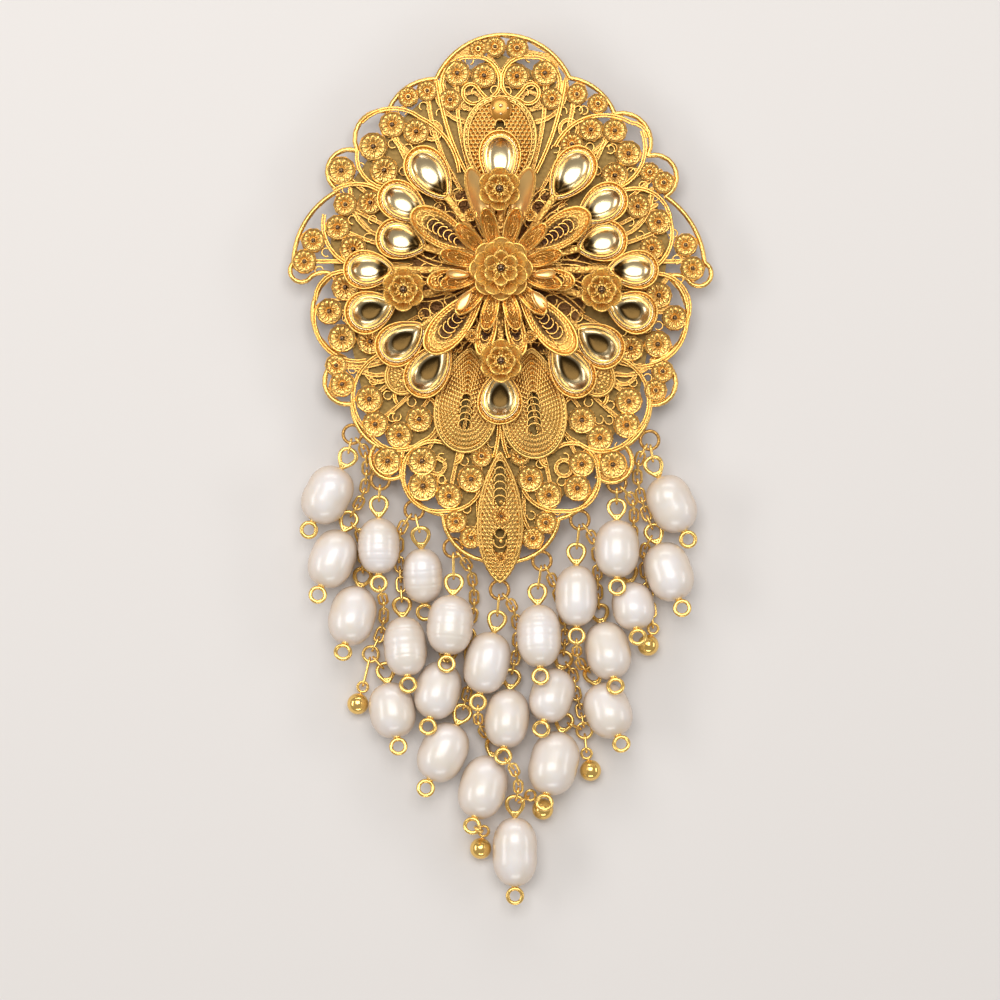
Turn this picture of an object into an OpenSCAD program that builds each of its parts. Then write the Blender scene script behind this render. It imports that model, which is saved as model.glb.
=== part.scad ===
// Filigree brooch that rests on its back: openwork plate, petals and flowers in tiers,
// and a fringe of chains, pearls and small balls. X is to the right, Y to the top of the
// brooch, Z out of its front. Z = 0 is the surface it lies on.

/* [Chart] */
// Millimetres in one square of the chart that places on the brooch are read from
chart_step = 0.13; // [0.129:0.0005:0.131]

/* [Plates] */
// Thickness of the smooth sheet at the back
sheet_t = 0.5; // [0.4:0.1:0.6]
// Thickness of the openwork plate
openwork_t = 0.6; // [0.5:0.05:0.65]
// Width of a wire in the openwork
wire_w = 0.6; // [0.55:0.05:0.7]
// Height of a daisy above the openwork
daisy_h = 0.45; // [0.3:0.05:0.5]
// Gap between two metal pieces that are laid on each other
laid_gap = 0.1; // [0.08:0.01:0.12]

/* [Petals] */
// Thickness of sheet petals
petal_t = 0.35; // [0.3:0.05:0.4]
// Depth of a polished spoon petal
spoon_dip = 1.1; // [0.8:0.1:1.3]
// Height that a woven petal swells
woven_swell = 0.7; // [0.5:0.1:0.9]

/* [Fringe] */
// Radius of the wire of a chain link
link_wire = 0.17; // [0.15:0.01:0.17]
// Radius of the wire of eye pins and lugs
eye_wire = 0.22; // [0.2:0.01:0.22]
// Radius of an eye, to the middle of its wire
eye_r = 1.08; // [1.04:0.01:1.12]
// Radius of the hole drilled through a pearl
bore_r = 0.36; // [0.34:0.01:0.4]
// Radius of a polished ball
ball_r = 1.4; // [1.3:0.05:1.45]

/* [Pin] */
// Length of the pin stem between its two blocks
pin_span = 30; // [26:1:32]
// Radius of the pin stem
pin_r = 0.45; // [0.4:0.05:0.5]
// How far the pin lies above the middle of the brooch
pin_y = 26; // [20:1:32]

/* [Hidden] */
$fn = 24;

gold = [0.85, 0.62, 0.22];
deep_gold = [0.83, 0.55, 0.15];
bright_gold = [0.90, 0.72, 0.35];
pearl_white = [0.95, 0.92, 0.88];

// The chart's place that lies over the origin, and the middle of the flowers
chart_mid = [500.815, 468.87];
crown = [501, 271];
// Radius of the plain disc under the petals, on the chart, and the narrowest cut, in mm
disc_r = 92;
saw_cut = 0.36;

// Heights of the layers, from the surface up
pin_z = 0.95;
sheet_z = 2.6;
openwork_z = sheet_z + sheet_t + laid_gap;
openwork_top = openwork_z + openwork_t;
daisy_top = openwork_top + daisy_h;
lug_z = openwork_z + openwork_t / 2;
woven_z = daisy_top + 2 * laid_gap;

// Chain links: half width to the middle of the wire, least spacing, and gap at what holds them
link_side = 0.54;
least_pitch = 1.18;
link_clear = 0.14;
// Radii of lugs, feet eyes, joining rings and the eyes of balls, with the wires of the last two
lug_r = 1.2;
foot_r = 0.95;
ring_r = 1.0;
ring_wire = 0.2;
drop_r = 0.66;
drop_wire = 0.18;
// From the end of a pearl to the middle of its top eye and of its foot eye
top_neck = 1.69;
foot_neck = 1.25;

// Turns a chart place into millimetres on the brooch
function at(p) = [(p[0] - chart_mid[0]) * chart_step, (chart_mid[1] - p[1]) * chart_step];

// Points of the arc through three places
function arc_centre(a, b, c) =
    let (d = 2 * (a[0] * (b[1] - c[1]) + b[0] * (c[1] - a[1]) + c[0] * (a[1] - b[1])),
        aa = a * a, bb = b * b, cc = c * c)
    [(aa * (b[1] - c[1]) + bb * (c[1] - a[1]) + cc * (a[1] - b[1])) / d,
     (aa * (c[0] - b[0]) + bb * (a[0] - c[0]) + cc * (b[0] - a[0])) / d];
function wrapped(angle) = angle - 360 * floor(angle / 360);
function arc_points(a, b, c, steps) =
    let (m = arc_centre(a, b, c),
        r = norm(a - m),
        start = atan2(a[1] - m[1], a[0] - m[0]),
        to_b = wrapped(atan2(b[1] - m[1], b[0] - m[0]) - start),
        to_c = wrapped(atan2(c[1] - m[1], c[0] - m[0]) - start),
        sweep = to_b < to_c ? to_c : to_c - 360)
    [for (i = [0:steps]) m + r * [cos(start + sweep * i / steps), sin(start + sweep * i / steps)]];

// A flat wire along a row of points, and one along an arc of the chart
function across(points, i) =
    let (last = len(points) - 1,
        t = points[min(i + 1, last)] - points[max(i - 1, 0)])
    [-t[1], t[0]] / norm(t);
module flat_wire(points, width) {
    last = len(points) - 1;
    polygon(concat(
        [for (i = [0:last]) points[i] + across(points, i) * width / 2],
        [for (i = [last:-1:0]) points[i] - across(points, i) * width / 2]));
    for (end = [0, last])
        translate(points[end]) circle(width / 2, $fn = 6);
}
module arc_wire(row, width, steps) {
    flat_wire(arc_points(at([row[0], row[1]]), at([row[2], row[3]]), at([row[4], row[5]]), steps), width);
}
module flat_ring(place, r, width, sides) {
    translate(at(place))
        difference() {
            circle(r * chart_step + width / 2, $fn = sides);
            circle(r * chart_step - width / 2, $fn = sides);
        }
}

// Rim wires, each an arc: start x, y, middle x, y, end x, y on the chart
RIM = [
    [436, 78, 500, 34, 570, 77],
    [436, 78, 405, 88, 388, 110],
    [388, 110, 360, 121, 357, 150],
    [357, 150, 327, 168, 338, 190],
    [338, 190, 312, 211, 293, 262],
    [293, 262, 295, 280, 311, 276],
    [311, 276, 320, 272, 332, 274],
    [332, 274, 312, 315, 345, 358],
    [345, 358, 324, 380, 352, 404],
    [352, 400, 364, 436, 402, 451],
    [375, 445, 376, 473, 404, 474],
    [402, 451, 411, 497, 443, 515],
    [443, 515, 456, 546, 482, 560],
    [482, 560, 493, 567, 500, 580],
    [570, 77, 600, 91, 615, 113],
    [615, 113, 644, 122, 648, 155],
    [648, 155, 677, 180, 666, 196],
    [666, 196, 688, 217, 705, 262],
    [705, 262, 704, 285, 688, 279],
    [688, 279, 680, 275, 669, 276],
    [669, 276, 688, 320, 652, 362],
    [652, 360, 676, 378, 652, 405],
    [651, 401, 640, 434, 600, 453],
    [626, 446, 627, 476, 597, 477],
    [600, 453, 589, 500, 559, 519],
    [559, 519, 546, 546, 518, 561],
    [518, 561, 507, 567, 500, 580],
];

// Stems of the left half, repeated in mirror image on the right half. Each springs from
// the middle disc and is an arc: middle x, y, end x, y on the chart
STEMS = [
    [462, 140, 457, 72],
    [437, 140, 427, 90],
    [412, 170, 392, 124],
    [400, 190, 373, 146],
    [385, 206, 341, 170],
    [392, 228, 345, 204],
    [380, 244, 337, 227],
    [370, 262, 304, 261],
    [380, 288, 345, 287],
    [380, 308, 329, 311],
    [392, 330, 370, 341],
    [388, 360, 337, 366],
    [400, 374, 369, 399],
    [412, 392, 375, 424],
    [432, 394, 399, 435],
    [450, 405, 422, 461],
    [468, 410, 449, 496],
    [486, 420, 482, 456],
];

// Scrolling wires of the left half, repeated on the right: start, middle and end x, y
SCROLLS = [
    [482, 456, 478, 500, 486, 562],
    [436, 78, 446, 112, 470, 122],
    [388, 110, 402, 148, 437, 158],
    [350, 188, 360, 222, 395, 238],
    [332, 274, 356, 296, 392, 296],
    [345, 358, 362, 372, 392, 372],
];

// Round wire loops: x, y, radius on the chart
LOOPS = [
    [472, 80, 29], [530, 80, 29],
    [472, 100, 9], [530, 100, 9],
    [432, 130, 9], [569, 128, 9],
    [404, 208, 16], [598, 208, 16],
    [410, 455, 8], [590, 458, 8],
    [378, 370, 12], [624, 372, 12],
    [437, 466, 8], [564, 468, 8],
];

// Daisies: x, y, radius on the chart
DAISIES = [
    [478, 48, 9], [495, 46, 10.5], [517, 47, 11],
    [457, 72.5, 13], [484, 75, 12.5], [517, 75.5, 12.5], [545, 72.5, 13],
    [450, 99, 11], [552, 98, 11],
    [408, 96, 10], [427, 90, 10.5], [577, 93.5, 10.5], [598, 103, 10],
    [392, 124, 13], [416, 131, 13], [373, 146, 14], [384, 170, 14],
    [591, 129, 12], [615, 130, 12], [572, 143.5, 11.5], [628.5, 153, 13], [615, 175, 13],
    [341, 170, 14], [650, 171.5, 9.5], [664, 182, 11],
    [345, 204, 11.5], [370, 202, 12], [337.5, 227, 12.5], [353, 249, 13.5],
    [313, 240, 12], [304, 261, 12],
    [638, 206, 12], [659, 221.5, 12.5], [652, 248, 12],
    [686, 244.5, 11.5], [693, 268, 12],
    [345, 287, 13.5], [329, 311, 13], [342, 338, 14], [370, 341, 13],
    [659, 295, 13], [675, 317.5, 12.5], [658, 344, 13.5], [631, 348, 13],
    [336, 365, 11], [342, 384, 12.5], [663, 371, 11], [656, 390, 11],
    [369, 399, 13.5], [375, 424, 13], [399, 435, 13], [419, 419, 13],
    [629, 401, 13.5], [582, 420, 13.5], [627, 425, 13], [600, 438, 13],
    [387.5, 461, 14], [613, 464.5, 14],
    [422, 461, 14.5], [423, 486, 15], [449, 496, 13], [471, 479, 13.5], [481.5, 456, 11],
    [582, 464, 13], [577.5, 488, 13], [549, 495, 13], [530, 479, 13], [520, 456, 10],
    [456, 521.5, 11], [471, 537.5, 11], [546, 522.6, 11], [533, 538, 11],
];

// Lugs on the rim that carry the fringe: x, y on the chart
LUGS = [[352, 434], [380, 480], [414, 510], [453, 548], [499.5, 590],
    [542, 561], [580, 520], [617, 483], [650, 440]];

// A petal is a curved sheet from the place where it starts to its tip. Its width grows to
// a round end, its middle sinks by dip, or swells where dip is negative, and it rises to its tip.
function petal_width(s, fat) = 0.16 + 0.84 * pow(sin(180 * pow(0.04 + 0.94 * s, fat)), 0.7);
function petal_point(long, wide, dip, rise, fat, s, u) =
    let (w = petal_width(s, fat))
    [u * w * wide / 2, s * long, rise * s * s - dip * w * (1 - u * u)];
module petal(long, wide, dip, rise = 0, thick = petal_t, fat = 1.45, rows = 8, columns = 4) {
    per_row = columns + 1;
    top = [for (i = [0:rows], j = [0:columns])
        petal_point(long, wide, dip, rise, fat, i / rows, 2 * j / columns - 1)];
    count = len(top);
    under = [for (p = top) p - [0, 0, thick]];
    function id(i, j) = i * per_row + j;
    sheet = [for (i = [0:rows - 1], j = [0:columns - 1], half = [0, 1])
        half == 0
            ? [id(i, j), id(i + 1, j), id(i + 1, j + 1)]
            : [id(i, j), id(i + 1, j + 1), id(i, j + 1)]];
    edge = concat(
        [for (j = [0:columns - 1]) id(0, j)],
        [for (i = [0:rows - 1]) id(i, columns)],
        [for (j = [columns:-1:1]) id(rows, j)],
        [for (i = [rows:-1:1]) id(i, 0)]);
    sides = [for (k = [0:len(edge) - 1], half = [0, 1])
        let (a = edge[k], b = edge[(k + 1) % len(edge)])
        half == 0 ? [a, b, b + count] : [a, b + count, a + count]];
    polyhedron(concat(top, under),
        concat(sheet, [for (f = sheet) [f[2] + count, f[1] + count, f[0] + count]], sides));
}

// Turns what is drawn along +Y so that it starts at one chart place and aims at another
module aimed(from, to, z) {
    a = at(from);
    d = at(to) - a;
    translate([a[0], a[1], z])
        rotate(atan2(d[1], d[0]) - 90)
            children();
}
function reach(from, to) = norm(at(to) - at(from));

// Size on the back plate of the two blocks that hold the pin
block_wide = 2.4;
block_long = 3.2;
module pin_and_catch() {
    color(gold) {
        block = [block_wide, block_long, sheet_z - laid_gap];
        for (side = [-1, 1])
            translate([side * pin_span / 2 - block[0] / 2, pin_y - block[1] / 2, 0])
                cube(block);
        translate([-pin_span / 2, pin_y, pin_z])
            rotate([0, 90, 0])
                cylinder(h = pin_span, r = pin_r);
    }
}

// Outline of the smooth sheet: a broad oval with a point at the bottom
SHEET_RIM = [
    [500, 52], [440, 84], [388, 130], [352, 180], [330, 240], [338, 300], [350, 340],
    [362, 392], [384, 432], [415, 470], [440, 500], [470, 535], [500, 560], [530, 535],
    [560, 500], [586, 470], [616, 432], [640, 392], [650, 340], [662, 300], [670, 240],
    [648, 180], [612, 130], [560, 84],
];
module back_plate() {
    color(gold)
        translate([0, 0, sheet_z])
            linear_extrude(sheet_t)
                polygon([for (p = SHEET_RIM) at(p)]);
}

// The openwork seen from above. Slivers narrower than a saw blade are closed
function mirrored(row) = [for (k = [0:len(row) - 1]) k % 2 == 0 ? 2 * crown[0] - row[k] : row[k]];
module stem(row) {
    middle = [row[0], row[1]];
    start = crown + (disc_r - 3) * (middle - crown) / norm(middle - crown);
    arc_wire(concat(start, row), wire_w * 0.9, 3);
}
module openwork_outline() {
    for (row = RIM)
        arc_wire(row, wire_w, 6);
    for (row = STEMS) {
        stem(row);
        stem(mirrored(row));
    }
    for (row = SCROLLS) {
        arc_wire(row, wire_w * 0.9, 3);
        arc_wire(mirrored(row), wire_w * 0.9, 3);
    }
    for (row = LOOPS)
        flat_ring(row, row[2], wire_w * 0.85, row[2] > 20 ? 16 : 8);
    for (row = DAISIES)
        translate(at(row)) circle((row[2] + 0.8) * chart_step, $fn = 10);
    translate(at(crown)) circle(disc_r * chart_step, $fn = 30);
}
// A daisy is a dished disc with a raised rim and a round bead in its middle
module daisy(r) {
    bead = 0.34;
    rotate_extrude($fn = 24)
        polygon([[0, -0.2], [r, -0.2], [r * 0.94, daisy_h], [bead, 0.1], [bead, daisy_h], [0, daisy_h]]);
}
module openwork_plate() {
    color(gold) {
        translate([0, 0, openwork_z])
            linear_extrude(openwork_t)
                offset(delta = -saw_cut / 2)
                    offset(delta = saw_cut / 2)
                        openwork_outline();
        for (row = DAISIES)
            translate([at(row)[0], at(row)[1], openwork_top])
                daisy(row[2] * chart_step * 0.86);
        for (place = LUGS)
            translate([at(place)[0], at(place)[1], lug_z]) wire_ring(lug_r, eye_wire);
    }
}

// Where each pearl lies. Columns: strand, middle x, middle y, width, length, tilt of its top
// to the right, lift of its foot, height of its top eye, depth of the waist round its middle
PEARLS = [
    [1, 327, 495, 48, 60, 28, 0, 3.5, 0.12],
    [9, 672, 504, 47, 59, -25, 0, 3.5, 0.12],
    [1, 332, 559, 46, 60, 22, 13, 1.9, 0.04],
    [2, 378.5, 546, 42, 56, 0, 4, 3.5, 0.0],
    [3, 422.5, 576, 41, 55, -3, -8, 3.5, 0.06],
    [8, 617, 549, 45, 58, 0, 12, 3.5, 0.0],
    [9, 669, 572, 48, 60, -20, 14, 2.2, 0.1],
    [7, 576.5, 596, 43, 61, 0, 6, 3.5, 0.06],
    [1, 352, 616, 47, 61, 14, 22, 1.25, 0.04],
    [8, 633.5, 606.5, 43, 48, -8, 24, 1.6, 0.04],
    [4, 450, 625, 47, 60, 5, 12, 3.5, 0.05],
    [6, 539, 636, 45, 63, -2, 14, 3.5, 0.04],
    [3, 405, 647, 44, 61, -5, 20, 1.8, 0.04],
    [5, 487, 663, 46, 62, 13, 4, 3.5, 0.04],
    [7, 608, 651, 46, 59, -12, 24, 1.2, 0.08],
    [6, 552, 696, 44, 56, 18, 23, 1.2, 0.04],
    [4, 437.5, 691, 46, 59, 15, 20, 1.5, 0.03],
    [2, 392, 711, 47, 56, -10, 16, 1.75, 0.04],
    [5, 507, 719, 45, 60, 6, 20, 1.6, 0.02],
    [7, 608, 711, 47, 57, -22, 22, 1.3, 0.06],
    [4, 443, 753, 48, 61, 26, 8, 2.4, 0.06],
    [6, 554, 764, 50, 65, 14, 20, 1.5, 0.1],
    [5, 483, 788, 48, 65, 16, 22, 1.25, 0.04],
    [5, 515, 853, 46, 69, 0, 0, 3.1, 0.14],
];
// Balls: strand, ball x, y, then the x, y and height of the eye that it hangs from
BALLS = [
    [9, 649, 646, 654, 629.5, 1.4],
    [2, 357, 705, 362, 688, 1.4],
    [6, 591, 772, 587, 755, 1.4],
    [5, 480.5, 850.5, 483.5, 833, 1.4],
    [5, 543, 811, 530.5, 797, 1.4],
];
// Joining rings in the chains: strand, x, y, height
RINGS = [
    [2, 370, 655, 1.2],
    [4, 467, 636, 0.9],
    [6, 585, 732, 1.0],
];
// What holds the end of a chain: radius to the middle of its wire, radius of the wire
a_lug = 0;
an_eye = 1;
a_foot = 2;
a_ring = 3;
a_drop = 4;
HOLDS = [
    [lug_r, eye_wire], [eye_r, eye_wire], [foot_r, eye_wire],
    [ring_r, ring_wire], [drop_r, drop_wire]];

// Ends of a pearl's pin on the chart, with their heights, tilt and lift
function lean(pearl) = [sin(pearl[5]), cos(pearl[5])] * cos(pearl[6]);
function pearl_z(pearl) = pearl[7] + (pearl[4] * chart_step / 2 + top_neck) * sin(pearl[6]);
function pin_end(pearl, out) =
    [pearl[1] + lean(pearl)[0] * out / chart_step,
     pearl[2] - lean(pearl)[1] * out / chart_step,
     pearl_z(pearl) - out * sin(pearl[6]), pearl[5], pearl[6]];
function top_eye(n) = pin_end(PEARLS[n - 1], PEARLS[n - 1][4] * chart_step / 2 + top_neck);
function foot_eye(n) = pin_end(PEARLS[n - 1], -(PEARLS[n - 1][4] * chart_step / 2 + foot_neck));
function lug(n) = [LUGS[n - 1][0], LUGS[n - 1][1], lug_z, 0, 0];
function joining_ring(n) = [RINGS[n - 1][1], RINGS[n - 1][2], RINGS[n - 1][3], 0, 0];
function drop_eye(n) = [BALLS[n - 1][3], BALLS[n - 1][4], BALLS[n - 1][5], 0, 0];

// Runs of chain: strand, what holds its first link, what holds its last, and its route
RUNS = [
    [1, a_lug, an_eye, [lug(1), top_eye(1)]],
    [1, a_lug, an_eye, [lug(1), [364, 449, 3.0], [367, 468, 2.2], [363, 495, 1.9], top_eye(3)]],
    [1, an_eye, an_eye, [top_eye(3), [360, 534, 1.4], [362, 554, 0.85], top_eye(9)]],
    [2, a_lug, an_eye, [lug(2), top_eye(4)]],
    [2, a_foot, a_ring, [foot_eye(4), [384, 605, 2.0], [382, 630, 0.8], joining_ring(1)]],
    [2, a_ring, an_eye, [joining_ring(1), top_eye(18)]],
    [2, a_ring, a_drop, [joining_ring(1), drop_eye(2)]],
    [3, a_lug, an_eye, [lug(3), top_eye(5)]],
    [3, a_lug, an_eye, [lug(3), [399, 531, 2.2], [398, 555, 1.0], [400, 580, 0.9], top_eye(13)]],
    [4, a_lug, an_eye, [lug(4), top_eye(11)]],
    [4, a_lug, a_ring, [lug(4), [470, 568, 2.7], [474, 590, 1.2], [474, 612, 0.8], joining_ring(2)]],
    [4, a_ring, an_eye, [joining_ring(2), top_eye(17)]],
    [4, a_ring, an_eye, [joining_ring(2), [470, 662, 0.8], [468, 690, 1.0], top_eye(21)]],
    [5, a_lug, an_eye, [lug(5), top_eye(14)]],
    [5, a_lug, an_eye, [lug(5), [513, 606, 2.6], [518, 628, 1.6], [517, 650, 1.2], top_eye(19)]],
    [5, a_foot, an_eye, [foot_eye(14), [478, 725, 2.8], top_eye(23)]],
    [5, a_foot, an_eye, [foot_eye(19), [515, 770, 4.6], [519, 787, 4.0], top_eye(24)]],
    [5, an_eye, a_drop, [top_eye(24), drop_eye(5)]],
    [5, a_foot, a_drop, [foot_eye(23), drop_eye(4)]],
    [6, a_lug, an_eye, [lug(6), top_eye(12)]],
    [6, a_lug, an_eye, [lug(6), [552, 578, 2.9], [557, 592, 1.4], [563, 608, 0.8],
        [566, 632, 0.8], top_eye(16)]],
    [6, an_eye, a_ring, [top_eye(16), [574, 674, 0.85], [576, 693, 0.8], [581, 710, 0.8],
        joining_ring(3)]],
    [6, a_ring, an_eye, [joining_ring(3), top_eye(22)]],
    [6, a_ring, a_drop, [joining_ring(3), drop_eye(3)]],
    [7, a_lug, an_eye, [lug(7), top_eye(8)]],
    [7, a_lug, an_eye, [lug(7), [595, 540, 2.6], [598, 560, 1.4], [598, 585, 1.0], top_eye(15)]],
    [7, a_foot, an_eye, [foot_eye(8), [577, 655, 3.0], [582, 667, 1.8], top_eye(20)]],
    [8, a_lug, an_eye, [lug(8), top_eye(6)]],
    [8, a_lug, an_eye, [lug(8), [633, 499, 3.2], [635, 515, 1.9], [634, 530, 1.0],
        [633, 548, 1.0], top_eye(10)]],
    [9, a_lug, an_eye, [lug(9), top_eye(2)]],
    [9, a_lug, an_eye, [lug(9), [640, 457, 2.8], [637, 475, 2.3], [641, 495, 2.0],
        [646, 512, 1.9], top_eye(7)]],
    [9, an_eye, a_drop, [top_eye(7), [645, 549, 1.6], [645, 568, 0.9], [648, 585, 0.8],
        [652, 605, 0.8], drop_eye(1)]],
];

function placed(p) = [at(p)[0], at(p)[1], p[2]];
// Place on the wire of an eye or ring that lies towards a chart place
function on_wire(hold, toward, r) =
    let (way = at(toward) - at(hold),
        up = [sin(hold[3]), cos(hold[3])],
        aside = [up[1], -up[0]],
        part = [way * up / cos(hold[4]), way * aside],
        place = (part[0] * cos(hold[4]) * up + part[1] * aside) / norm(part))
    placed(hold) + r * [place[0], place[1], -sin(hold[4]) * part[0] / norm(part)];
function rounded(route) =
    let (last = len(route) - 1)
    concat([route[0]],
        [for (i = [0:last - 1], part = [0.25, 0.75])
            if (!(i == 0 && part == 0.25 && last > 1) && !(i == last - 1 && part == 0.75 && last > 1))
                route[i] * (1 - part) + route[i + 1] * part],
        [route[last]]);
function lengths(route, i = 1, sum = 0) =
    i == len(route) ? [sum] : concat([sum], lengths(route, i + 1, sum + norm(route[i] - route[i - 1])));
function along(route, marks, d, i = 1) =
    i == len(route) - 1 || d <= marks[i]
        ? route[i - 1] + (route[i] - route[i - 1]) * (d - marks[i - 1]) / (marks[i] - marks[i - 1])
        : along(route, marks, d, i + 1);

// An oval link, long in X and flat in Z
module link(half, side, wire) {
    for (turn = [0, 180])
        rotate(turn) {
            translate([half - side, 0, 0])
                rotate(-90)
                    rotate_extrude(angle = 180, $fn = 32)
                        translate([side, 0]) circle(wire, $fn = 16);
            translate([side - half, side, 0])
                rotate([0, 90, 0])
                    cylinder(h = 2 * (half - side), r = wire, $fn = 16);
        }
}
// Links along a run. Every second one stands on edge, as the first and the last do
module chain_run(run) {
    holds = [HOLDS[run[1]], HOLDS[run[2]]];
    stops = run[3];
    last = len(stops) - 1;
    route = rounded(rounded([for (i = [0:last])
        i == 0 ? on_wire(stops[0], stops[1], holds[0][0])
        : i == last ? on_wire(stops[last], stops[last - 1], holds[1][0])
        : placed(stops[i])]));
    marks = lengths(route);
    total = marks[len(marks) - 1];
    room = total + holds[0][1] + holds[1][1] + 2 * (link_wire + link_clear);
    count = max(1, 2 * floor((room / least_pitch - 1.5) / 2) + 1);
    pitch = room / (count + 0.5);
    half = round(750 * pitch) / 1000;
    first = half - holds[0][1] - link_wire - link_clear;
    for (k = [0:count - 1]) {
        d = first + k * pitch;
        spot = along(route, marks, d);
        ahead = along(route, marks, d + pitch / 2) - along(route, marks, d - pitch / 2);
        translate(spot)
            rotate([0, -atan2(ahead[2], norm([ahead[0], ahead[1]])), atan2(ahead[1], ahead[0])])
                rotate([k % 2 == 0 ? 90 : 0, 0, 0])
                    link(half, link_side, link_wire);
    }
}

module wire_ring(r, wire) {
    rotate_extrude($fn = 36)
        translate([r, 0]) circle(wire, $fn = 16);
}
module in_pearl_frame(pearl) {
    translate([at([pearl[1], pearl[2]])[0], at([pearl[1], pearl[2]])[1], pearl_z(pearl)])
        rotate([0, 0, -pearl[5]])
            rotate([-pearl[6], 0, 0])
                children();
}
module eye_pin(pearl) {
    half = pearl[4] * chart_step / 2;
    in_pearl_frame(pearl) {
        translate([0, half + top_neck, 0]) wire_ring(eye_r, eye_wire);
        translate([0, -half - foot_neck, 0]) wire_ring(foot_r, eye_wire);
        translate([0, foot_r - half - foot_neck, 0])
            rotate([-90, 0, 0])
                cylinder(h = 2 * half + foot_neck + top_neck - foot_r - eye_r, r = eye_wire, $fn = 16);
    }
}
module ball_drop(row) {
    from = [at([row[1], row[2]])[0], at([row[1], row[2]])[1], ball_r];
    to = [at([row[3], row[4]])[0], at([row[3], row[4]])[1], row[5]];
    aim = to - from;
    translate(to) wire_ring(drop_r, drop_wire);
    translate(from) {
        sphere(ball_r, $fn = 40);
        rotate(atan2(aim[1], aim[0]))
            rotate([0, 90, 0])
                cylinder(h = norm(aim) - drop_r, r = drop_wire, $fn = 16);
    }
}
module strand(n) {
    color(bright_gold) {
        for (run = RUNS)
            if (run[0] == n)
                chain_run(run);
        for (row = RINGS)
            if (row[0] == n)
                translate(placed([row[1], row[2], row[3]])) wire_ring(ring_r, ring_wire);
        for (pearl = PEARLS)
            if (pearl[0] == n)
                eye_pin(pearl);
        for (row = BALLS)
            if (row[0] == n)
                ball_drop(row);
    }
}
// A rice-shaped pearl, round its drilled hole along Y
module pearl(n) {
    row = PEARLS[n - 1];
    half = row[4] * chart_step / 2;
    wide = row[3] * chart_step / 2;
    blunt = 0.86;
    first = 12;
    steps = 16;
    color(pearl_white)
        in_pearl_frame(row)
            rotate([-90, 0, 0])
                rotate_extrude($fn = 40)
                    polygon(concat([for (end = [-1, 1]) [bore_r, end * half * pow(cos(first), blunt)]],
                        [for (i = [0:steps])
                            let (a = first + (180 - 2 * first) * i / steps,
                                z = half * sign(cos(a)) * pow(abs(cos(a)), blunt))
                            [wide * pow(sin(a), blunt) - row[8] * exp(-pow(z / half / 0.22, 2)), z]]));
}

// Woven petals lie on the openwork: a swollen sheet with a flat wire round its edge
module woven_petal(from, to, wide, swell = woven_swell, z = woven_z, rows = 9, columns = 6) {
    aimed(from, to, z + petal_t)
        petal(reach(from, to), wide * chart_step, -swell, 0, petal_t, 1.5, rows, columns);
}
slot_h = 5;
module slot(from, to, wide) {
    hull()
        for (end = [[from, wide * 0.6], [to, wide]])
            translate([at(end[0])[0], at(end[0])[1], openwork_z])
                cylinder(h = slot_h, r = end[1] * chart_step / 2, $fn = 8);
}
module woven_top_petal() {
    color(gold) woven_petal([500, 196], [500, 96], 72);
}
module woven_lower_left_petal() {
    color(gold)
        difference() {
            woven_petal([470, 348], [463, 452], 62);
            slot([466, 398], [466, 424], 11);
        }
}
module woven_lower_right_petal() {
    color(gold)
        difference() {
            woven_petal([531, 348], [536, 458], 64);
            slot([533, 400], [534, 430], 13);
        }
}
module woven_small_left_petal() {
    color(gold) woven_petal([424, 338], [394, 392], 36, woven_swell * 0.7, woven_z, 6, 4);
}
module woven_small_right_petal() {
    color(gold) woven_petal([576, 340], [606, 394], 36, woven_swell * 0.7, woven_z, 6, 4);
}
// The leaf over the bottom point, with a narrow neck and a slot down its middle
leaf_foot = [500, 582];
leaf_top = [500, 452];
module bottom_leaf() {
    color(gold)
        difference() {
            aimed(leaf_foot, leaf_top, woven_z + petal_t)
                petal(reach(leaf_foot, leaf_top), 44 * chart_step, -woven_swell, 0, petal_t, 0.86, 10, 4);
            slot([500, 474], [500, 500], 9);
            slot([500, 556], [500, 532], 14);
        }
}

// Polished spoons in a ring: middle x, y, length, width on the chart
SPOONS = [
    [500, 163, 52, 31],
    [431, 176, 52, 31], [570, 176, 52, 31],
    [405, 205, 46, 29], [600, 207, 46, 29],
    [403, 241, 42, 30], [600, 243, 42, 30],
    [371, 270, 42, 28], [631, 270, 42, 28],
    [372, 311, 42, 32], [630, 311, 42, 32],
    [403, 341, 46, 32], [597, 343, 46, 32],
    [431, 368, 52, 32], [569, 368, 52, 32],
    [500, 396, 44, 34],
];
spoon_z = woven_z + 2.5;
hub_r = 4.6;
bar_wide = 0.9;
module hub(z, height, r = hub_r) {
    translate([at(crown)[0], at(crown)[1], z])
        cylinder(h = height, r = r);
}
// A flat bar under a petal, from one chart place to another
module stalk(from, to, z, wide, thick) {
    aimed(from, to, z)
        translate([-wide / 2, 0, 0])
            cube([wide, reach(from, to), thick]);
}
function outward(place) = (place - crown) / norm(place - crown);
module spoon_petals() {
    color(bright_gold) {
        hub(openwork_top + laid_gap, spoon_z - openwork_top - laid_gap + petal_t);
        for (row = SPOONS) {
            middle = [row[0], row[1]];
            from = middle - outward(middle) * row[2] / 2;
            to = middle + outward(middle) * row[2] / 2;
            stalk(crown + outward(middle) * 25, from + outward(middle) * 4,
                spoon_z - petal_t - 0.15, bar_wide, 0.5);
            aimed(from, to, spoon_z)
                petal(row[2] * chart_step, row[3] * chart_step, spoon_dip, 0, petal_t, 1.35, 5, 4);
        }
    }
}

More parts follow.
